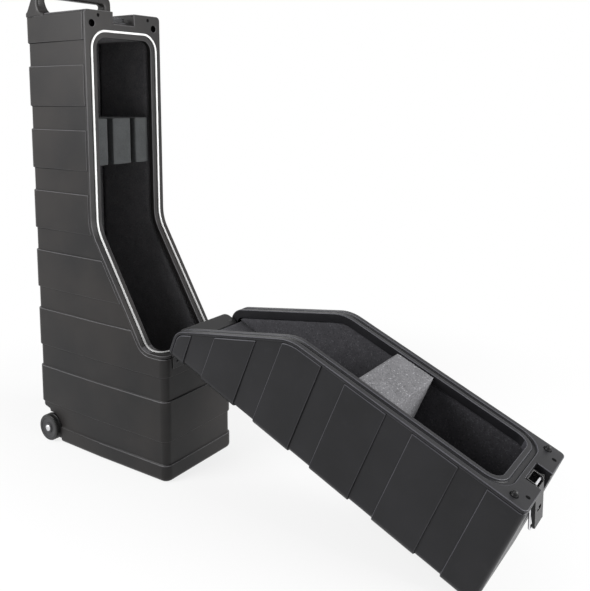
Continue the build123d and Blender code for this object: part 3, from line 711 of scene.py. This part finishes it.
def lathe(profile, origin, axis, sides=48):
    """Closed turned shape: a profile of (radius, height) pairs spun round an axis."""
    made = bmesh.new()
    turn = Vector(axis).to_track_quat("Z", "Y")
    rings = []
    for radius, height in profile:
        count = sides if radius > 0 else 1
        ring = []
        for index in range(count):
            angle = 2 * math.pi * index / sides
            spot = Vector((radius * math.cos(angle), radius * math.sin(angle), height))
            ring.append(made.verts.new(Vector(origin) + turn @ spot))
        rings.append(ring)
    pairs = list(zip(rings, rings[1:]))
    if profile[0][0] > 0:
        pairs.append((rings[-1], rings[0]))
    for low, high in pairs:
        for index in range(sides):
            near, far = index, (index + 1) % sides
            corners = [low[near % len(low)], low[far % len(low)]]
            corners += [high[far % len(high)], high[near % len(high)]]
            made.faces.new(list(dict.fromkeys(corners)))
    bmesh.ops.recalc_face_normals(made, faces=made.faces)
    return made


def scaled(outline, radius, height):
    """Profile of a turned shape from an outline in shares of its radius and height."""
    return [(across * radius, along * height) for across, along in outline]


def join_meshes(parts, name):
    """One mesh from several edited copies."""
    whole = bmesh.new()
    for part in parts:
        piece = to_mesh(part, "part")
        whole.from_mesh(piece)
        bpy.data.meshes.remove(piece)
    return to_mesh(whole, name)


def rounded_path(corners, radii, step=math.radians(7.0)):
    """Points along straight runs whose corners are rounded by arcs, or kept where the radius is 0."""
    count = len(corners)
    path = []
    for index in range(count):
        here, radius = corners[index], radii[index]
        if radius == 0:
            path.append(here)
            continue
        back = (corners[index - 1] - here).normalized()
        ahead = (corners[(index + 1) % count] - here).normalized()
        half = back.angle(ahead) / 2
        reach = radius / math.tan(half)
        centre = here + (back + ahead).normalized() * (radius / math.sin(half))
        start = here + back * reach - centre
        end = here + ahead * reach - centre
        sweep = start.angle(end)
        steps = max(2, math.ceil(sweep / step))
        axis = start.cross(end).normalized()
        for part in range(steps + 1):
            path.append(centre + Matrix.Rotation(sweep * part / steps, 3, axis) @ start)
    return path


def heads_of(node):
    """Seat, outward direction, radius and height of each rivet or screw head in a CAD node."""
    made = merged_copy(node)
    heads = []
    for group in islands(made.verts, lambda vert: [link.other_vert(vert) for link in vert.link_edges]):
        areas = {}
        for face in dict.fromkeys(face for vert in group for face in vert.link_faces):
            key = tuple(round(value, 2) for value in face.normal)
            areas.setdefault(key, []).append(face)
        base = max(areas.values(), key=lambda faces: sum(face.calc_area() for face in faces))
        out = -sum((face.normal * face.calc_area() for face in base), Vector()).normalized()
        rim = dict.fromkeys(vert for face in base for vert in face.verts)
        seat = sum((vert.co for vert in rim), Vector()) / len(rim)
        radius = max((vert.co - seat).length for vert in rim)
        height = max((vert.co - seat).dot(out) for vert in group)
        heads.append((seat, out, radius, height))
    made.free()
    return heads


def half_height(node):
    """Radius of a round node whose axis is level."""
    low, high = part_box(node)
    return (high.z - low.z) / 2


def seats_mesh(places, name):
    """Loose points, each with the direction that its head faces."""
    mesh = bpy.data.meshes.new(name)
    mesh.from_pydata([place for place, _ in places], [], [])
    facing = mesh.attributes.new("facing", "FLOAT_VECTOR", "POINT")
    facing.data.foreach_set("vector", [value for _, out in places for value in out])
    return mesh


def foam_piece(node, voxel, wave, shrink, finish):
    """Foam in place of a CAD pad: rounded off at its corners, its faces gently uneven."""
    slow_waves, slow_share = 22.0, 0.35
    quick_waves, quick_share = 140.0, 0.2
    made = remeshed(node, voxel, shrink)
    smooth(made, made.verts, 2)
    made.normal_update()
    moves = []
    for vert in made.verts:
        slow = noise.noise(vert.co * slow_waves) - 1
        quick = noise.noise(vert.co * quick_waves + Vector((7.0, 3.0, 1.0))) - 1
        moves.append(vert.normal * (wave * (slow_share * slow + quick_share * quick)))
    for vert, move in zip(made.verts, moves):
        vert.co += move
    mesh = to_mesh(made, node + "_foam")
    mesh.shade_smooth()
    new_piece(node + "_foam", mesh, body_of(node), finish, [node])


def plate(node, ending, finish, width, segments=2):
    """Piece that stands for a CAD node, with its edges rounded."""
    mesh = rounded_copy(node, width, segments, 40.0)
    new_piece(node + ending, mesh, body_of(node), finish, [node])


class CASE_OT_shells(bpy.types.Operator):
    """Moulded shells of base and lid with rounded band corners"""

    bl_idname = "case.shells"
    bl_label = "Shells"

    def execute(self, context):
        sizes = context.scene.case_sizes
        for node in ("base_shell", "lid_shell"):
            mesh = rounded_copy(node, sizes.shell_round, fill=sizes.shell_fill)
            new_piece(node + "_moulding", mesh, body_of(node), node, [node])
        return {"FINISHED"}


class CASE_OT_handle(bpy.types.Operator):
    """Moulded carrying handle, its bar rounded all along"""

    bl_idname = "case.handle"
    bl_label = "Handle"

    voxel = 0.0018
    passes = 14
    root_height = 0.004

    def execute(self, context):
        case_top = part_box("base_shell")[1].z
        made = remeshed("top_handle", self.voxel)
        free = [vert for vert in made.verts if vert.co.z > case_top + self.root_height]
        smooth(made, free, self.passes)
        mesh = to_mesh(made, "handle_moulding")
        mesh.shade_smooth()
        new_piece("handle_moulding", mesh, body_of("top_handle"), "base_shell", ["top_handle"])
        return {"FINISHED"}


class CASE_OT_lining(bpy.types.Operator):
    """Foam lining of base and lid, each pad remeshed and gently uneven"""

    bl_idname = "case.lining"
    bl_label = "Lining"

    fit = 0.0003
    pads = {
        "dark_foam": ("base_floor_pad", "base_back_pad", "base_side_pads", "base_top_pad", "base_front_pad"),
        "lid_foam": ("lid_floor_pad", "lid_side_pads", "lid_top_pad"),
    }

    def execute(self, context):
        sizes = context.scene.case_sizes
        for finish, names in self.pads.items():
            for node in names:
                foam_piece(node, sizes.foam_voxel, sizes.foam_wave, self.fit, finish)
        return {"FINISHED"}


class CASE_OT_blocks(bpy.types.Operator):
    """Foam blocks across base and lid, finer than the lining"""

    bl_idname = "case.blocks"
    bl_label = "Foam blocks"

    fit = 0.0002

    def execute(self, context):
        sizes = context.scene.case_sizes
        for node, finish, slot in (
            ("neck_block", "neck_foam", "grey_foam"), ("lid_block", "pale_foam", "pale_foam"),
        ):
            foam_piece(node, sizes.block_voxel, sizes.foam_wave / 2, self.fit, finish)
        return {"FINISHED"}


class CASE_OT_seal(bpy.types.Operator):
    """Pale sealing strip that follows the curved rim"""

    bl_idname = "case.seal"
    bl_label = "Seal"

    width = 0.006
    height = 0.004
    upper_bend_height = 0.640
    sill_reach = 0.076
    upper_bend_radius = 0.110
    lower_bend_radius = 0.040
    top_corner_radius = 0.048
    front_corner_radius = 0.028
    fillet_steps = 4
    turning = 0.045

    def execute(self, context):
        sizes = {"Width": self.width, "Height": self.height, "Crown": context.scene.case_sizes.seal_crown}
        tree = PieceTree("seal_strip_section", sizes)
        line = tree.node("GeometryNodeMeshToCurve", {}, {"Mesh": tree.given("Geometry")})
        line = tree.node("GeometryNodeSetCurveNormal", {"mode": "FREE"}, {
            "Curve": line, "Normal": tree.facing()})
        section = tree.node("GeometryNodeCurvePrimitiveQuadrilateral", {"mode": "RECTANGLE"}, {
            "Width": tree.given("Height"), "Height": tree.given("Width")})
        section = tree.node("GeometryNodeFilletCurve", {"mode": "POLY"}, {
            "Curve": section, "Count": self.fillet_steps, "Radius": tree.given("Crown"),
            "Limit Radius": True})
        strip = tree.node("GeometryNodeCurveToMesh", {}, {"Curve": line, "Profile Curve": section})
        tree.close(tree.node("GeometryNodeSetShadeSmooth", {}, {"Geometry": strip}))
        mesh = tree.run(self.route(self.centre_line()), sizes, "seal")
        new_piece("seal_bead", mesh, body_of("seal_strip"), "seal", ["seal_strip"])
        return {"FINISHED"}

    def centre_line(self):
        """Points along the middle of the strip, all the way round the opening."""
        low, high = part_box("seal_strip")
        side = high.x - self.width / 2
        top = high.z - self.width / 2
        front = low.y + self.width / 2
        rim_y = high.y - self.height / 2
        sill = low.z + self.height / 2
        front_wall = -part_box("base_shell")[0].y
        sill_height = joints["lid_hinge"]["pos_m"][2]
        slope = Vector((0.0, self.sill_reach - front_wall, sill_height - self.upper_bend_height))
        out = Vector((0.0, slope.z, -slope.y)).normalized()
        shift = self.height / 2 - high.y
        on_slope = Vector((0.0, 0.0, self.upper_bend_height)) + out * shift
        upper = on_slope + slope * ((rim_y - on_slope.y) / slope.y)
        lower = on_slope + slope * ((sill - on_slope.z) / slope.z)
        half = [
            (Vector((side, rim_y, top)), self.top_corner_radius),
            (Vector((side, rim_y, upper.z)), self.upper_bend_radius - shift),
            (Vector((side, lower.y, sill)), self.lower_bend_radius - shift),
            (Vector((side, front, sill)), self.front_corner_radius),
        ]
        loop = half + [(Vector((-spot.x, spot.y, spot.z)), radius) for spot, radius in reversed(half)]
        return rounded_path([spot for spot, _ in loop], [radius for _, radius in loop])

    def route(self, path):
        """Closed line of edges whose points carry the rim's outward direction.

        Where the line turns or runs across the case, the rim is upright or level, and its own
        direction is taken.
        """
        mesh = bpy.data.meshes.new("seal_route")
        mesh.from_pydata(path, [(index, (index + 1) % len(path)) for index in range(len(path))], [])
        values = []
        for index, here in enumerate(path):
            run = (path[(index + 1) % len(path)] - path[index - 1]).normalized()
            outward = ACROSS.cross(run)
            if abs(run.x) > self.turning:
                outward = AHEAD if here.z > self.upper_bend_height else UP
            values.extend(outward if outward.dot(AHEAD + UP) >= 0 else -outward)
        mesh.attributes.new("facing", "FLOAT_VECTOR", "POINT").data.foreach_set("vector", values)
        return mesh


class CASE_OT_fasteners(bpy.types.Operator):
    """Domed rivets and dimpled screws of hinge, latch and flap, and the small studs on both rims"""

    bl_idname = "case.fasteners"
    bl_label = "Rivets and screws"

    rows = {
        "keeper_rivets": ("steel", "bright_steel", 0.0),
        "hinge_base_rivets": ("coated", "dark_steel", 0.0),
        "hinge_lid_rivets": ("coated", "dark_steel", 0.0),
        "bracket_rivets": ("plating", "bright_steel", 0.0),
        "flap_screws": ("plating", "bright_steel", 0.6),
    }
    dimple_height = 0.08
    dimple_hollow = 0.9
    stud_width = 1.1
    stud_height = 0.11

    def execute(self, context):
        self.tree = self.head_tree()
        for node, (finish, slot, dimple) in self.rows.items():
            heads = heads_of(node)
            radius, height = heads[0][2], heads[0][3]
            self.row(node + "_heads", [head[:2] for head in heads], (radius, height, dimple),
                     body_of(node), finish, slot, [node])
        self.rim_studs(context.scene.case_sizes)
        return {"FINISHED"}

    def head_tree(self):
        """Tree that sets a domed head, dimpled if wanted, on each point of a mesh."""
        tree = PieceTree("fastener_heads", {
            "Radius": 0.004, "Height": 0.002, "Dimple": 0.0, "Sides": 24, "Rings": 14})
        ball = tree.node("GeometryNodeMeshUVSphere", {}, {
            "Segments": tree.given("Sides"), "Rings": tree.given("Rings"), "Radius": 1.0})
        x, y, z = tree.spot()
        hollow = (x * x + y * y) * -9.0 + 1.0
        rise = (z.at_least(0.0) - hollow.at_least(0.0) * tree.given("Dimple")) * tree.given("Height")
        spot = tree.node("ShaderNodeCombineXYZ", {}, {
            "X": x * tree.given("Radius"), "Y": y * tree.given("Radius"), "Z": rise.at_least(0.0)})
        head = tree.node("GeometryNodeSetPosition", {}, {"Geometry": ball, "Position": spot})
        head = tree.node("GeometryNodeMergeByDistance", {}, {"Geometry": head, "Distance": MERGE})
        head = tree.node("GeometryNodeSetShadeSmooth", {}, {"Geometry": head})
        tree.repeat(head, tree.upright())
        return tree

    def row(self, name, places, sizes, body, finish, slot, replaced=()):
        """One head of a radius, height and dimple on each seat."""
        values = dict(zip(("Radius", "Height", "Dimple"), sizes))
        mesh = self.tree.run(seats_mesh(places, name), values, finish)
        new_piece(name, mesh, body, finish, replaced)

    def rim_studs(self, sizes):
        """Low studs on the lid's rim and dimples on the base's, with room between them when it shuts."""
        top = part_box("base_shell")[1].z - sizes.stud_drop
        rim_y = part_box("seal_strip")[1].y
        turn = lid_turn()
        in_lid = turn.to_3x3() @ -AHEAD
        spread = (-sizes.stud_spread, sizes.stud_spread)
        base_places = [(Vector((x, rim_y, top)), AHEAD) for x in spread]
        lid_places = [(turn @ Vector((x, -rim_y, top)), in_lid) for x in spread]
        radius = sizes.stud_radius
        dimples = (radius, radius * self.dimple_height, self.dimple_hollow)
        studs = (radius * self.stud_width, radius * self.stud_height, 0.0)
        self.row("base_rim_dimples", base_places, dimples, "base", "hollow", "moulding")
        self.row("lid_rim_studs", lid_places, studs, "lid", "hollow", "moulding")


class CASE_OT_locators(bpy.types.Operator):
    """Turned locator pegs on the lid and their lined sockets in the base"""

    bl_idname = "case.locators"
    bl_label = "Locators"

    socket_radius = 0.0095
    socket_depth = 0.013
    socket_fit = 0.00005
    collar = 0.0012
    mouth_drop = 0.00055
    seat_width = 1.3
    seat_height = 0.0004
    peg_outline = (
        (0, 0), (1, 0), (1, 0.08), (0.86, 0.2), (0.8, 0.62), (0.72, 0.8), (0.5, 0.94), (0.22, 1), (0, 1),
    )

    def execute(self, context):
        turn = lid_turn()
        back = turn.inverted()
        out = turn.to_3x3() @ -AHEAD
        rim_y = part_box("seal_strip")[1].y
        pegs, seats, sockets = [], [], []
        for seat, _, radius, height in heads_of("locator_pegs"):
            closed = back @ seat
            mouth = (closed.x, rim_y + self.mouth_drop, closed.z)
            pegs.append(lathe(scaled(self.peg_outline, radius, height), seat, out))
            seats.append(lathe(self.peg_seat(radius), seat, out))
            sockets.append(lathe(self.socket(), mouth, -AHEAD))
        lid = body_of("locator_pegs")
        # Peg seats and socket linings take the near-black painted shade.
        for name, turned, body, finish, replaced in (
            ("locator_peg_seats", seats, lid, "hollow", ()),
            ("locator_peg_turnings", pegs, lid, "moulding", ["locator_pegs"]),
            ("locator_socket_linings", sockets, "base", "hollow", ()),
        ):
            mesh = shaded(join_meshes(turned, name), 40.0)
            new_piece(name, mesh, body, finish, replaced)
        return {"FINISHED"}

    def peg_seat(self, radius):
        """Low step round the foot of a peg, painted near-black as the shade of a counterbore."""
        outer, height = radius * self.seat_width, self.seat_height
        return [(0, 0), (outer, 0), (outer, height), (radius * 0.9, height * 2), (0, height * 2)]

    def socket(self):
        """Lining of a socket: a collar at the rim, a straight wall and a low boss on its floor."""
        outer, wall = self.socket_radius - self.socket_fit, self.socket_radius - self.collar
        back, floor = self.socket_depth - self.collar, self.socket_depth - 2 * self.collar
        boss = floor - self.collar / 3
        return [
            (0, back), (outer, back), (outer, 0), (outer - self.collar / 2, 0), (wall, self.collar),
            (wall, floor), (wall * 0.5, floor), (wall * 0.4, boss), (0, boss),
        ]


class CASE_OT_hinge(bpy.types.Operator):
    """Hinge leaves, pin and the stiff flap behind the hinge"""

    bl_idname = "case.hinge"
    bl_label = "Hinge"

    flap_round = 0.0016

    def execute(self, context):
        for node in ("hinge_base_leaf", "hinge_lid_leaf"):
            plate(node, "_plate", "coated", context.scene.case_sizes.metal_round)
        plate("hinge_flap", "_moulding", "moulding", self.flap_round, 3)
        paint(nodes["hinge_pin"].data, "steel")
        return {"FINISHED"}


class CASE_OT_latch(bpy.types.Operator):
    """Draw latch: keeper, bracket, rod, lever and its bent wire loop"""

    bl_idname = "case.latch"
    bl_label = "Latch"

    wire_radius = 0.0025
    bend_radius = 0.0055
    pivot_bend = 1.15
    pivot_reach = 0.0026
    bevel_steps = 5

    def execute(self, context):
        for node, finish in (
            ("latch_keeper", "plating"), ("latch_bracket", "coated"), ("latch_lever", "coated"),
        ):
            plate(node, "_plating", finish, context.scene.case_sizes.metal_round)
        paint(nodes["latch_rod"].data, "steel")
        self.loop()
        return {"FINISHED"}

    def loop(self):
        """Round wire bent along the loop, from one pivot hole to the other."""
        low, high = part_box("latch_loop")
        radius = self.wire_radius
        pivot = Vector(joints["latch_loop"]["pos_m"])
        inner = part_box("latch_lever")[1].x - self.pivot_reach
        leg = high.x - radius
        end = low.z + radius
        half = [(inner, pivot.z), (leg, pivot.z), (leg, end)]
        outline = half + [(-x, z) for x, z in reversed(half)]
        near, far = radius * self.pivot_bend, self.bend_radius
        path = rounded_path([Vector((x, pivot.y, z)) for x, z in outline], [0, near, far, far, near, 0])
        line = bpy.data.curves.new("loop_wire", "CURVE")
        line.dimensions = "3D"
        line.bevel_depth = radius
        line.bevel_resolution = self.bevel_steps
        line.use_fill_caps = True
        spline = line.splines.new("POLY")
        spline.points.add(len(path) - 1)
        for point, spot in zip(spline.points, path):
            point.co = (*spot, 1.0)
        mesh = baked(new_object("loop_wire", line))
        mesh.shade_smooth()
        new_piece("latch_loop_wire", mesh, body_of("latch_loop"), "steel", ["latch_loop"])


class CASE_OT_wheels(bpy.types.Operator):
    """Wheels: tyre with tread blocks, ringed disc, domed cap and axle"""

    bl_idname = "case.wheels"
    bl_label = "Wheels"

    tread_depth = 0.0011
    tread_sink = 0.97
    shoulder = 0.0022
    disc_gap = 0.0001
    row_places = (-0.24, 0.24)
    block_length = 0.34
    cap_outline = (
        (0, 0), (1, 0), (1, 0.22), (0.93, 0.4), (0.84, 0.3), (0.76, 0.42), (0.66, 0.8), (0.45, 0.95),
        (0.2, 1), (0, 1),
    )

    def execute(self, context):
        tree = self.tread_tree()
        for side in ("left", "right"):
            self.wheel(side, tree, context.scene.case_sizes.tread_blocks)
            paint(nodes["axle_" + side].data, "steel")
        return {"FINISHED"}

    def wheel(self, side, tree, count):
        """Tyre with its tread blocks, disc and cap, all round the wheel's axle."""
        tyre, hub, cap, axle = (part + side for part in ("tyre_", "hub_", "wheel_cap_", "axle_"))
        low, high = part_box(tyre)
        width, centre = high.x - low.x, (low + high) / 2
        inner_x, outer_x = sorted((low.x, high.x), key=abs)
        start = Vector((inner_x, centre.y, centre.z))
        face = Vector((outer_x, centre.y, centre.z))
        cap_low, cap_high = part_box(cap)
        dome = scaled(self.cap_outline, half_height(cap), cap_high.x - cap_low.x)
        outline = self.tyre(half_height(tyre), width, half_height(hub))
        self.turned(tyre, tyre + "_turning", outline, start, 96, "tread", "tread")
        self.blocks(side, tree, count)
        outline = self.disc(half_height(hub) - self.disc_gap, half_height(axle), width)
        self.turned(hub, "wheel_disc_" + side, outline, start, 72, "disc", "wheel_disc")
        self.turned(cap, cap + "_turning", dome, face, 40, "steel", "bright_steel", angle=50.0)

    def turned(self, node, name, profile, start, sides, finish, slot, angle=40.0):
        """Piece spun from a profile that stands for a node."""
        axis = (math.copysign(1.0, start.x), 0.0, 0.0)
        mesh = shaded(to_mesh(lathe(profile, start, axis, sides), name), angle)
        new_piece(name, mesh, body_of(node), finish, [node])

    def tyre(self, radius, width, bore):
        """Profile with round shoulders and a groove round the middle of the tread."""
        tread = radius - self.tread_depth
        groove = tread - self.tread_depth
        edge = self.shoulder
        return [
            (bore, 0.0), (tread - edge, 0.0), (tread - edge * 0.3, edge * 0.3), (tread, edge),
            (tread, width * 0.47), (groove, width * 0.48), (groove, width * 0.52), (tread, width * 0.53),
            (tread, width - edge), (tread - edge * 0.3, width - edge * 0.3), (tread - edge, width),
            (tread - edge * 1.3, width), (tread - edge * 1.5, width - edge * 0.3),
            (bore + edge * 0.4, width - edge * 0.3), (bore, width - edge * 0.1),
        ]

    def disc(self, outer, axle, width):
        """Profile with a raised rim and a raised ring round the cap."""
        face = width - self.disc_gap
        bore = axle * 1.02
        return [
            (bore, 0.0), (outer, 0.0), (outer, width - 0.0006), (outer - 0.0012, face),
            (outer - 0.0034, face), (outer - 0.0046, width - 0.0022), (outer * 0.55, width - 0.0034),
            (outer * 0.46, width - 0.003), (outer * 0.43, width - 0.0006), (outer * 0.36, face),
            (axle * 1.4, face), (bore, width - 0.0004),
        ]

    def tread_tree(self):
        """Tree that sets a tapered block on each point round a wheel's axis."""
        tree = PieceTree("tread_blocks", {"Length": 0.01, "Width": 0.003, "Depth": 0.002})
        size = tree.node("ShaderNodeCombineXYZ", {}, {
            "X": tree.given("Length"), "Y": tree.given("Width"), "Z": tree.given("Depth")})
        block = tree.node("GeometryNodeMeshCube", {}, {
            "Size": size, "Vertices X": 2, "Vertices Y": 2, "Vertices Z": 3})
        x, y, z = tree.spot()
        taper = 1 - z.at_least(0.0) * 180.0
        spot = tree.node("ShaderNodeCombineXYZ", {}, {"X": x * taper, "Y": y * taper, "Z": z})
        block = tree.node("GeometryNodeSetPosition", {}, {"Geometry": block, "Position": spot})
        tree.repeat(block, tree.node("FunctionNodeAlignRotationToVector", {"axis": "X"}, {
            "Rotation": tree.upright(), "Vector": (1.0, 0.0, 0.0)}))
        return tree

    def blocks(self, side, tree, count):
        """Two staggered rows of blocks on the tread."""
        low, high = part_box("tyre_" + side)
        centre, width, radius = (low + high) / 2, high.x - low.x, half_height("tyre_" + side)
        places = []
        for row, share in enumerate(self.row_places):
            for index in range(count):
                angle = 2 * math.pi * (index + row / 2) / count
                out = Vector((0.0, math.cos(angle), math.sin(angle)))
                spot = centre + out * (radius - self.tread_depth)
                spot.x += share * width
                places.append((spot, out))
        mesh = tree.run(seats_mesh(places, "tread_seats"), {
            "Length": width * self.block_length, "Width": math.pi * radius / count,
            "Depth": 2 * self.tread_depth * self.tread_sink}, "tread")
        new_piece("tread_blocks_" + side, mesh, body_of("tyre_" + side), "tread")


class CASE_OT_stage(bpy.types.Operator):
    """Floor, lights, world and the camera"""

    bl_idname = "case.stage"
    bl_label = "Stage"

    middle = (0.0, -0.4, 0.0)
    aim = (0.0, -0.4, 0.6)
    floor_half = 12.0
    world_light = 0.24
    near_share = 0.8
    fade_start = 0.8
    fade_end = 1.6

    def execute(self, context):
        stage = context.scene.case_stage
        self.camera(context, stage)
        self.floor()
        self.world(context)
        for name, place, size, power in (
            ("top_softbox", (0.1, -0.7, 3.2), 2.6, stage.top_power),
            ("side_softbox", (-1.85, 0.7, 1.7), 1.4, stage.side_power),
            ("front_softbox", (0.7, -3.1, 1.15), 2.0, stage.front_power),
        ):
            self.softbox(name, place, size, power)
        context.scene.view_settings.view_transform = "Standard"
        return {"FINISHED"}

    def camera(self, context, stage):
        data = bpy.data.cameras.new("photo_camera")
        data.sensor_width = 36.0
        data.lens = stage.lens
        data.shift_y = stage.camera_rise
        camera = new_object("photo_camera", data)
        camera.location = stage.camera_place
        camera.rotation_euler = (math.pi / 2 - stage.camera_tilt, 0.0, stage.camera_turn)
        context.scene.camera = camera

    def seen(self, graph):
        """1 where a ray comes from the camera or by way of a mirror or glass."""
        path = graph.raw("ShaderNodeLightPath")
        camera, glossy, through = (Socket(graph, path.outputs[kind]) for kind in (
            "Is Camera Ray", "Is Glossy Ray", "Is Transmission Ray"))
        return camera.at_least(glossy).at_least(through)

    def floor(self):
        """White floor that keeps the object's shadow near it and fades to plain white."""
        half = self.floor_half
        mesh = bpy.data.meshes.new("floor")
        corners = [(-half, -half, 0), (half, -half, 0), (half, half, 0), (-half, half, 0)]
        mesh.from_pydata(corners, [], [(0, 1, 2, 3)])
        new_object("floor", mesh)
        graph = Graph("pale_floor")
        mesh.materials.append(graph.finish({"Base Color": (0.9, 0.9, 0.9, 1.0), "Roughness": 0.9}))
        far = graph.node("ShaderNodeVectorMath", {"operation": "DISTANCE"}, {
            0: graph.spot(), 1: self.middle}, "Value")
        fade = graph.step(far, self.fade_start, self.fade_end)
        share = self.seen(graph) * (fade * (1 - self.near_share) + self.near_share)
        mix = graph.node("ShaderNodeMixShader", {}, {
            0: share, 1: Socket(graph, graph.shader.outputs[0]), 2: graph.node("ShaderNodeEmission")})
        graph.join(mix.link, graph.output.inputs["Surface"])

    def world(self, context):
        """White to the camera, dimmer as a light."""
        world = bpy.data.worlds.new("studio")
        world.use_nodes = True
        graph = NodeGraph(world.node_tree)
        white = (1.0, 1.0, 1.0, 1.0)
        lit, plain = (graph.node("ShaderNodeBackground", {}, {"Color": white, "Strength": strength})
                      for strength in (self.world_light, 1.0))
        mix = graph.node("ShaderNodeMixShader", {}, {0: self.seen(graph), 1: lit, 2: plain})
        graph.join(mix.link, graph.raw("ShaderNodeOutputWorld").inputs["Surface"])
        context.scene.world = world

    def softbox(self, name, place, size, power):
        data = bpy.data.lights.new(name, "AREA")
        data.shape = "SQUARE"
        data.size = size
        data.energy = power
        light = new_object(name, data)
        light.location = place
        ahead = Vector(self.aim) - Vector(place)
        light.rotation_euler = ahead.to_track_quat("-Z", "Y").to_euler()


class CASE_PT_panel(bpy.types.Panel):
    """Panel that lists the case's builders"""

    bl_idname = "CASE_PT_panel"
    bl_label = "Instrument case"
    bl_space_type = "VIEW_3D"
    bl_region_type = "UI"
    bl_category = "Case"

    def draw(self, context):
        for operator in OPERATORS:
            self.layout.operator(operator.bl_idname)


OPERATORS = (
    CASE_OT_shells, CASE_OT_handle, CASE_OT_lining, CASE_OT_blocks, CASE_OT_seal, CASE_OT_fasteners,
    CASE_OT_locators, CASE_OT_hinge, CASE_OT_latch, CASE_OT_wheels, CASE_OT_stage,
)
CLASSES = (CaseColours, CaseSizes, CaseStage) + OPERATORS + (CASE_PT_panel,)


def register():
    for cls in CLASSES:
        bpy.utils.register_class(cls)
    bpy.types.Scene.case_colours = bpy.props.PointerProperty(type=CaseColours)
    bpy.types.Scene.case_sizes = bpy.props.PointerProperty(type=CaseSizes)
    bpy.types.Scene.case_stage = bpy.props.PointerProperty(type=CaseStage)


def unregister():
    del bpy.types.Scene.case_stage
    del bpy.types.Scene.case_sizes
    del bpy.types.Scene.case_colours
    for cls in reversed(CLASSES):
        bpy.utils.unregister_class(cls)


def main():
    register()
    make_finishes(bpy.context.scene.case_colours)
    bpy.ops.case.shells()
    bpy.ops.case.handle()
    bpy.ops.case.lining()
    bpy.ops.case.blocks()
    bpy.ops.case.seal()
    bpy.ops.case.fasteners()
    bpy.ops.case.locators()
    bpy.ops.case.hinge()
    bpy.ops.case.latch()
    bpy.ops.case.wheels()
    bpy.ops.case.stage()


if __name__ == "__main__":
    main()
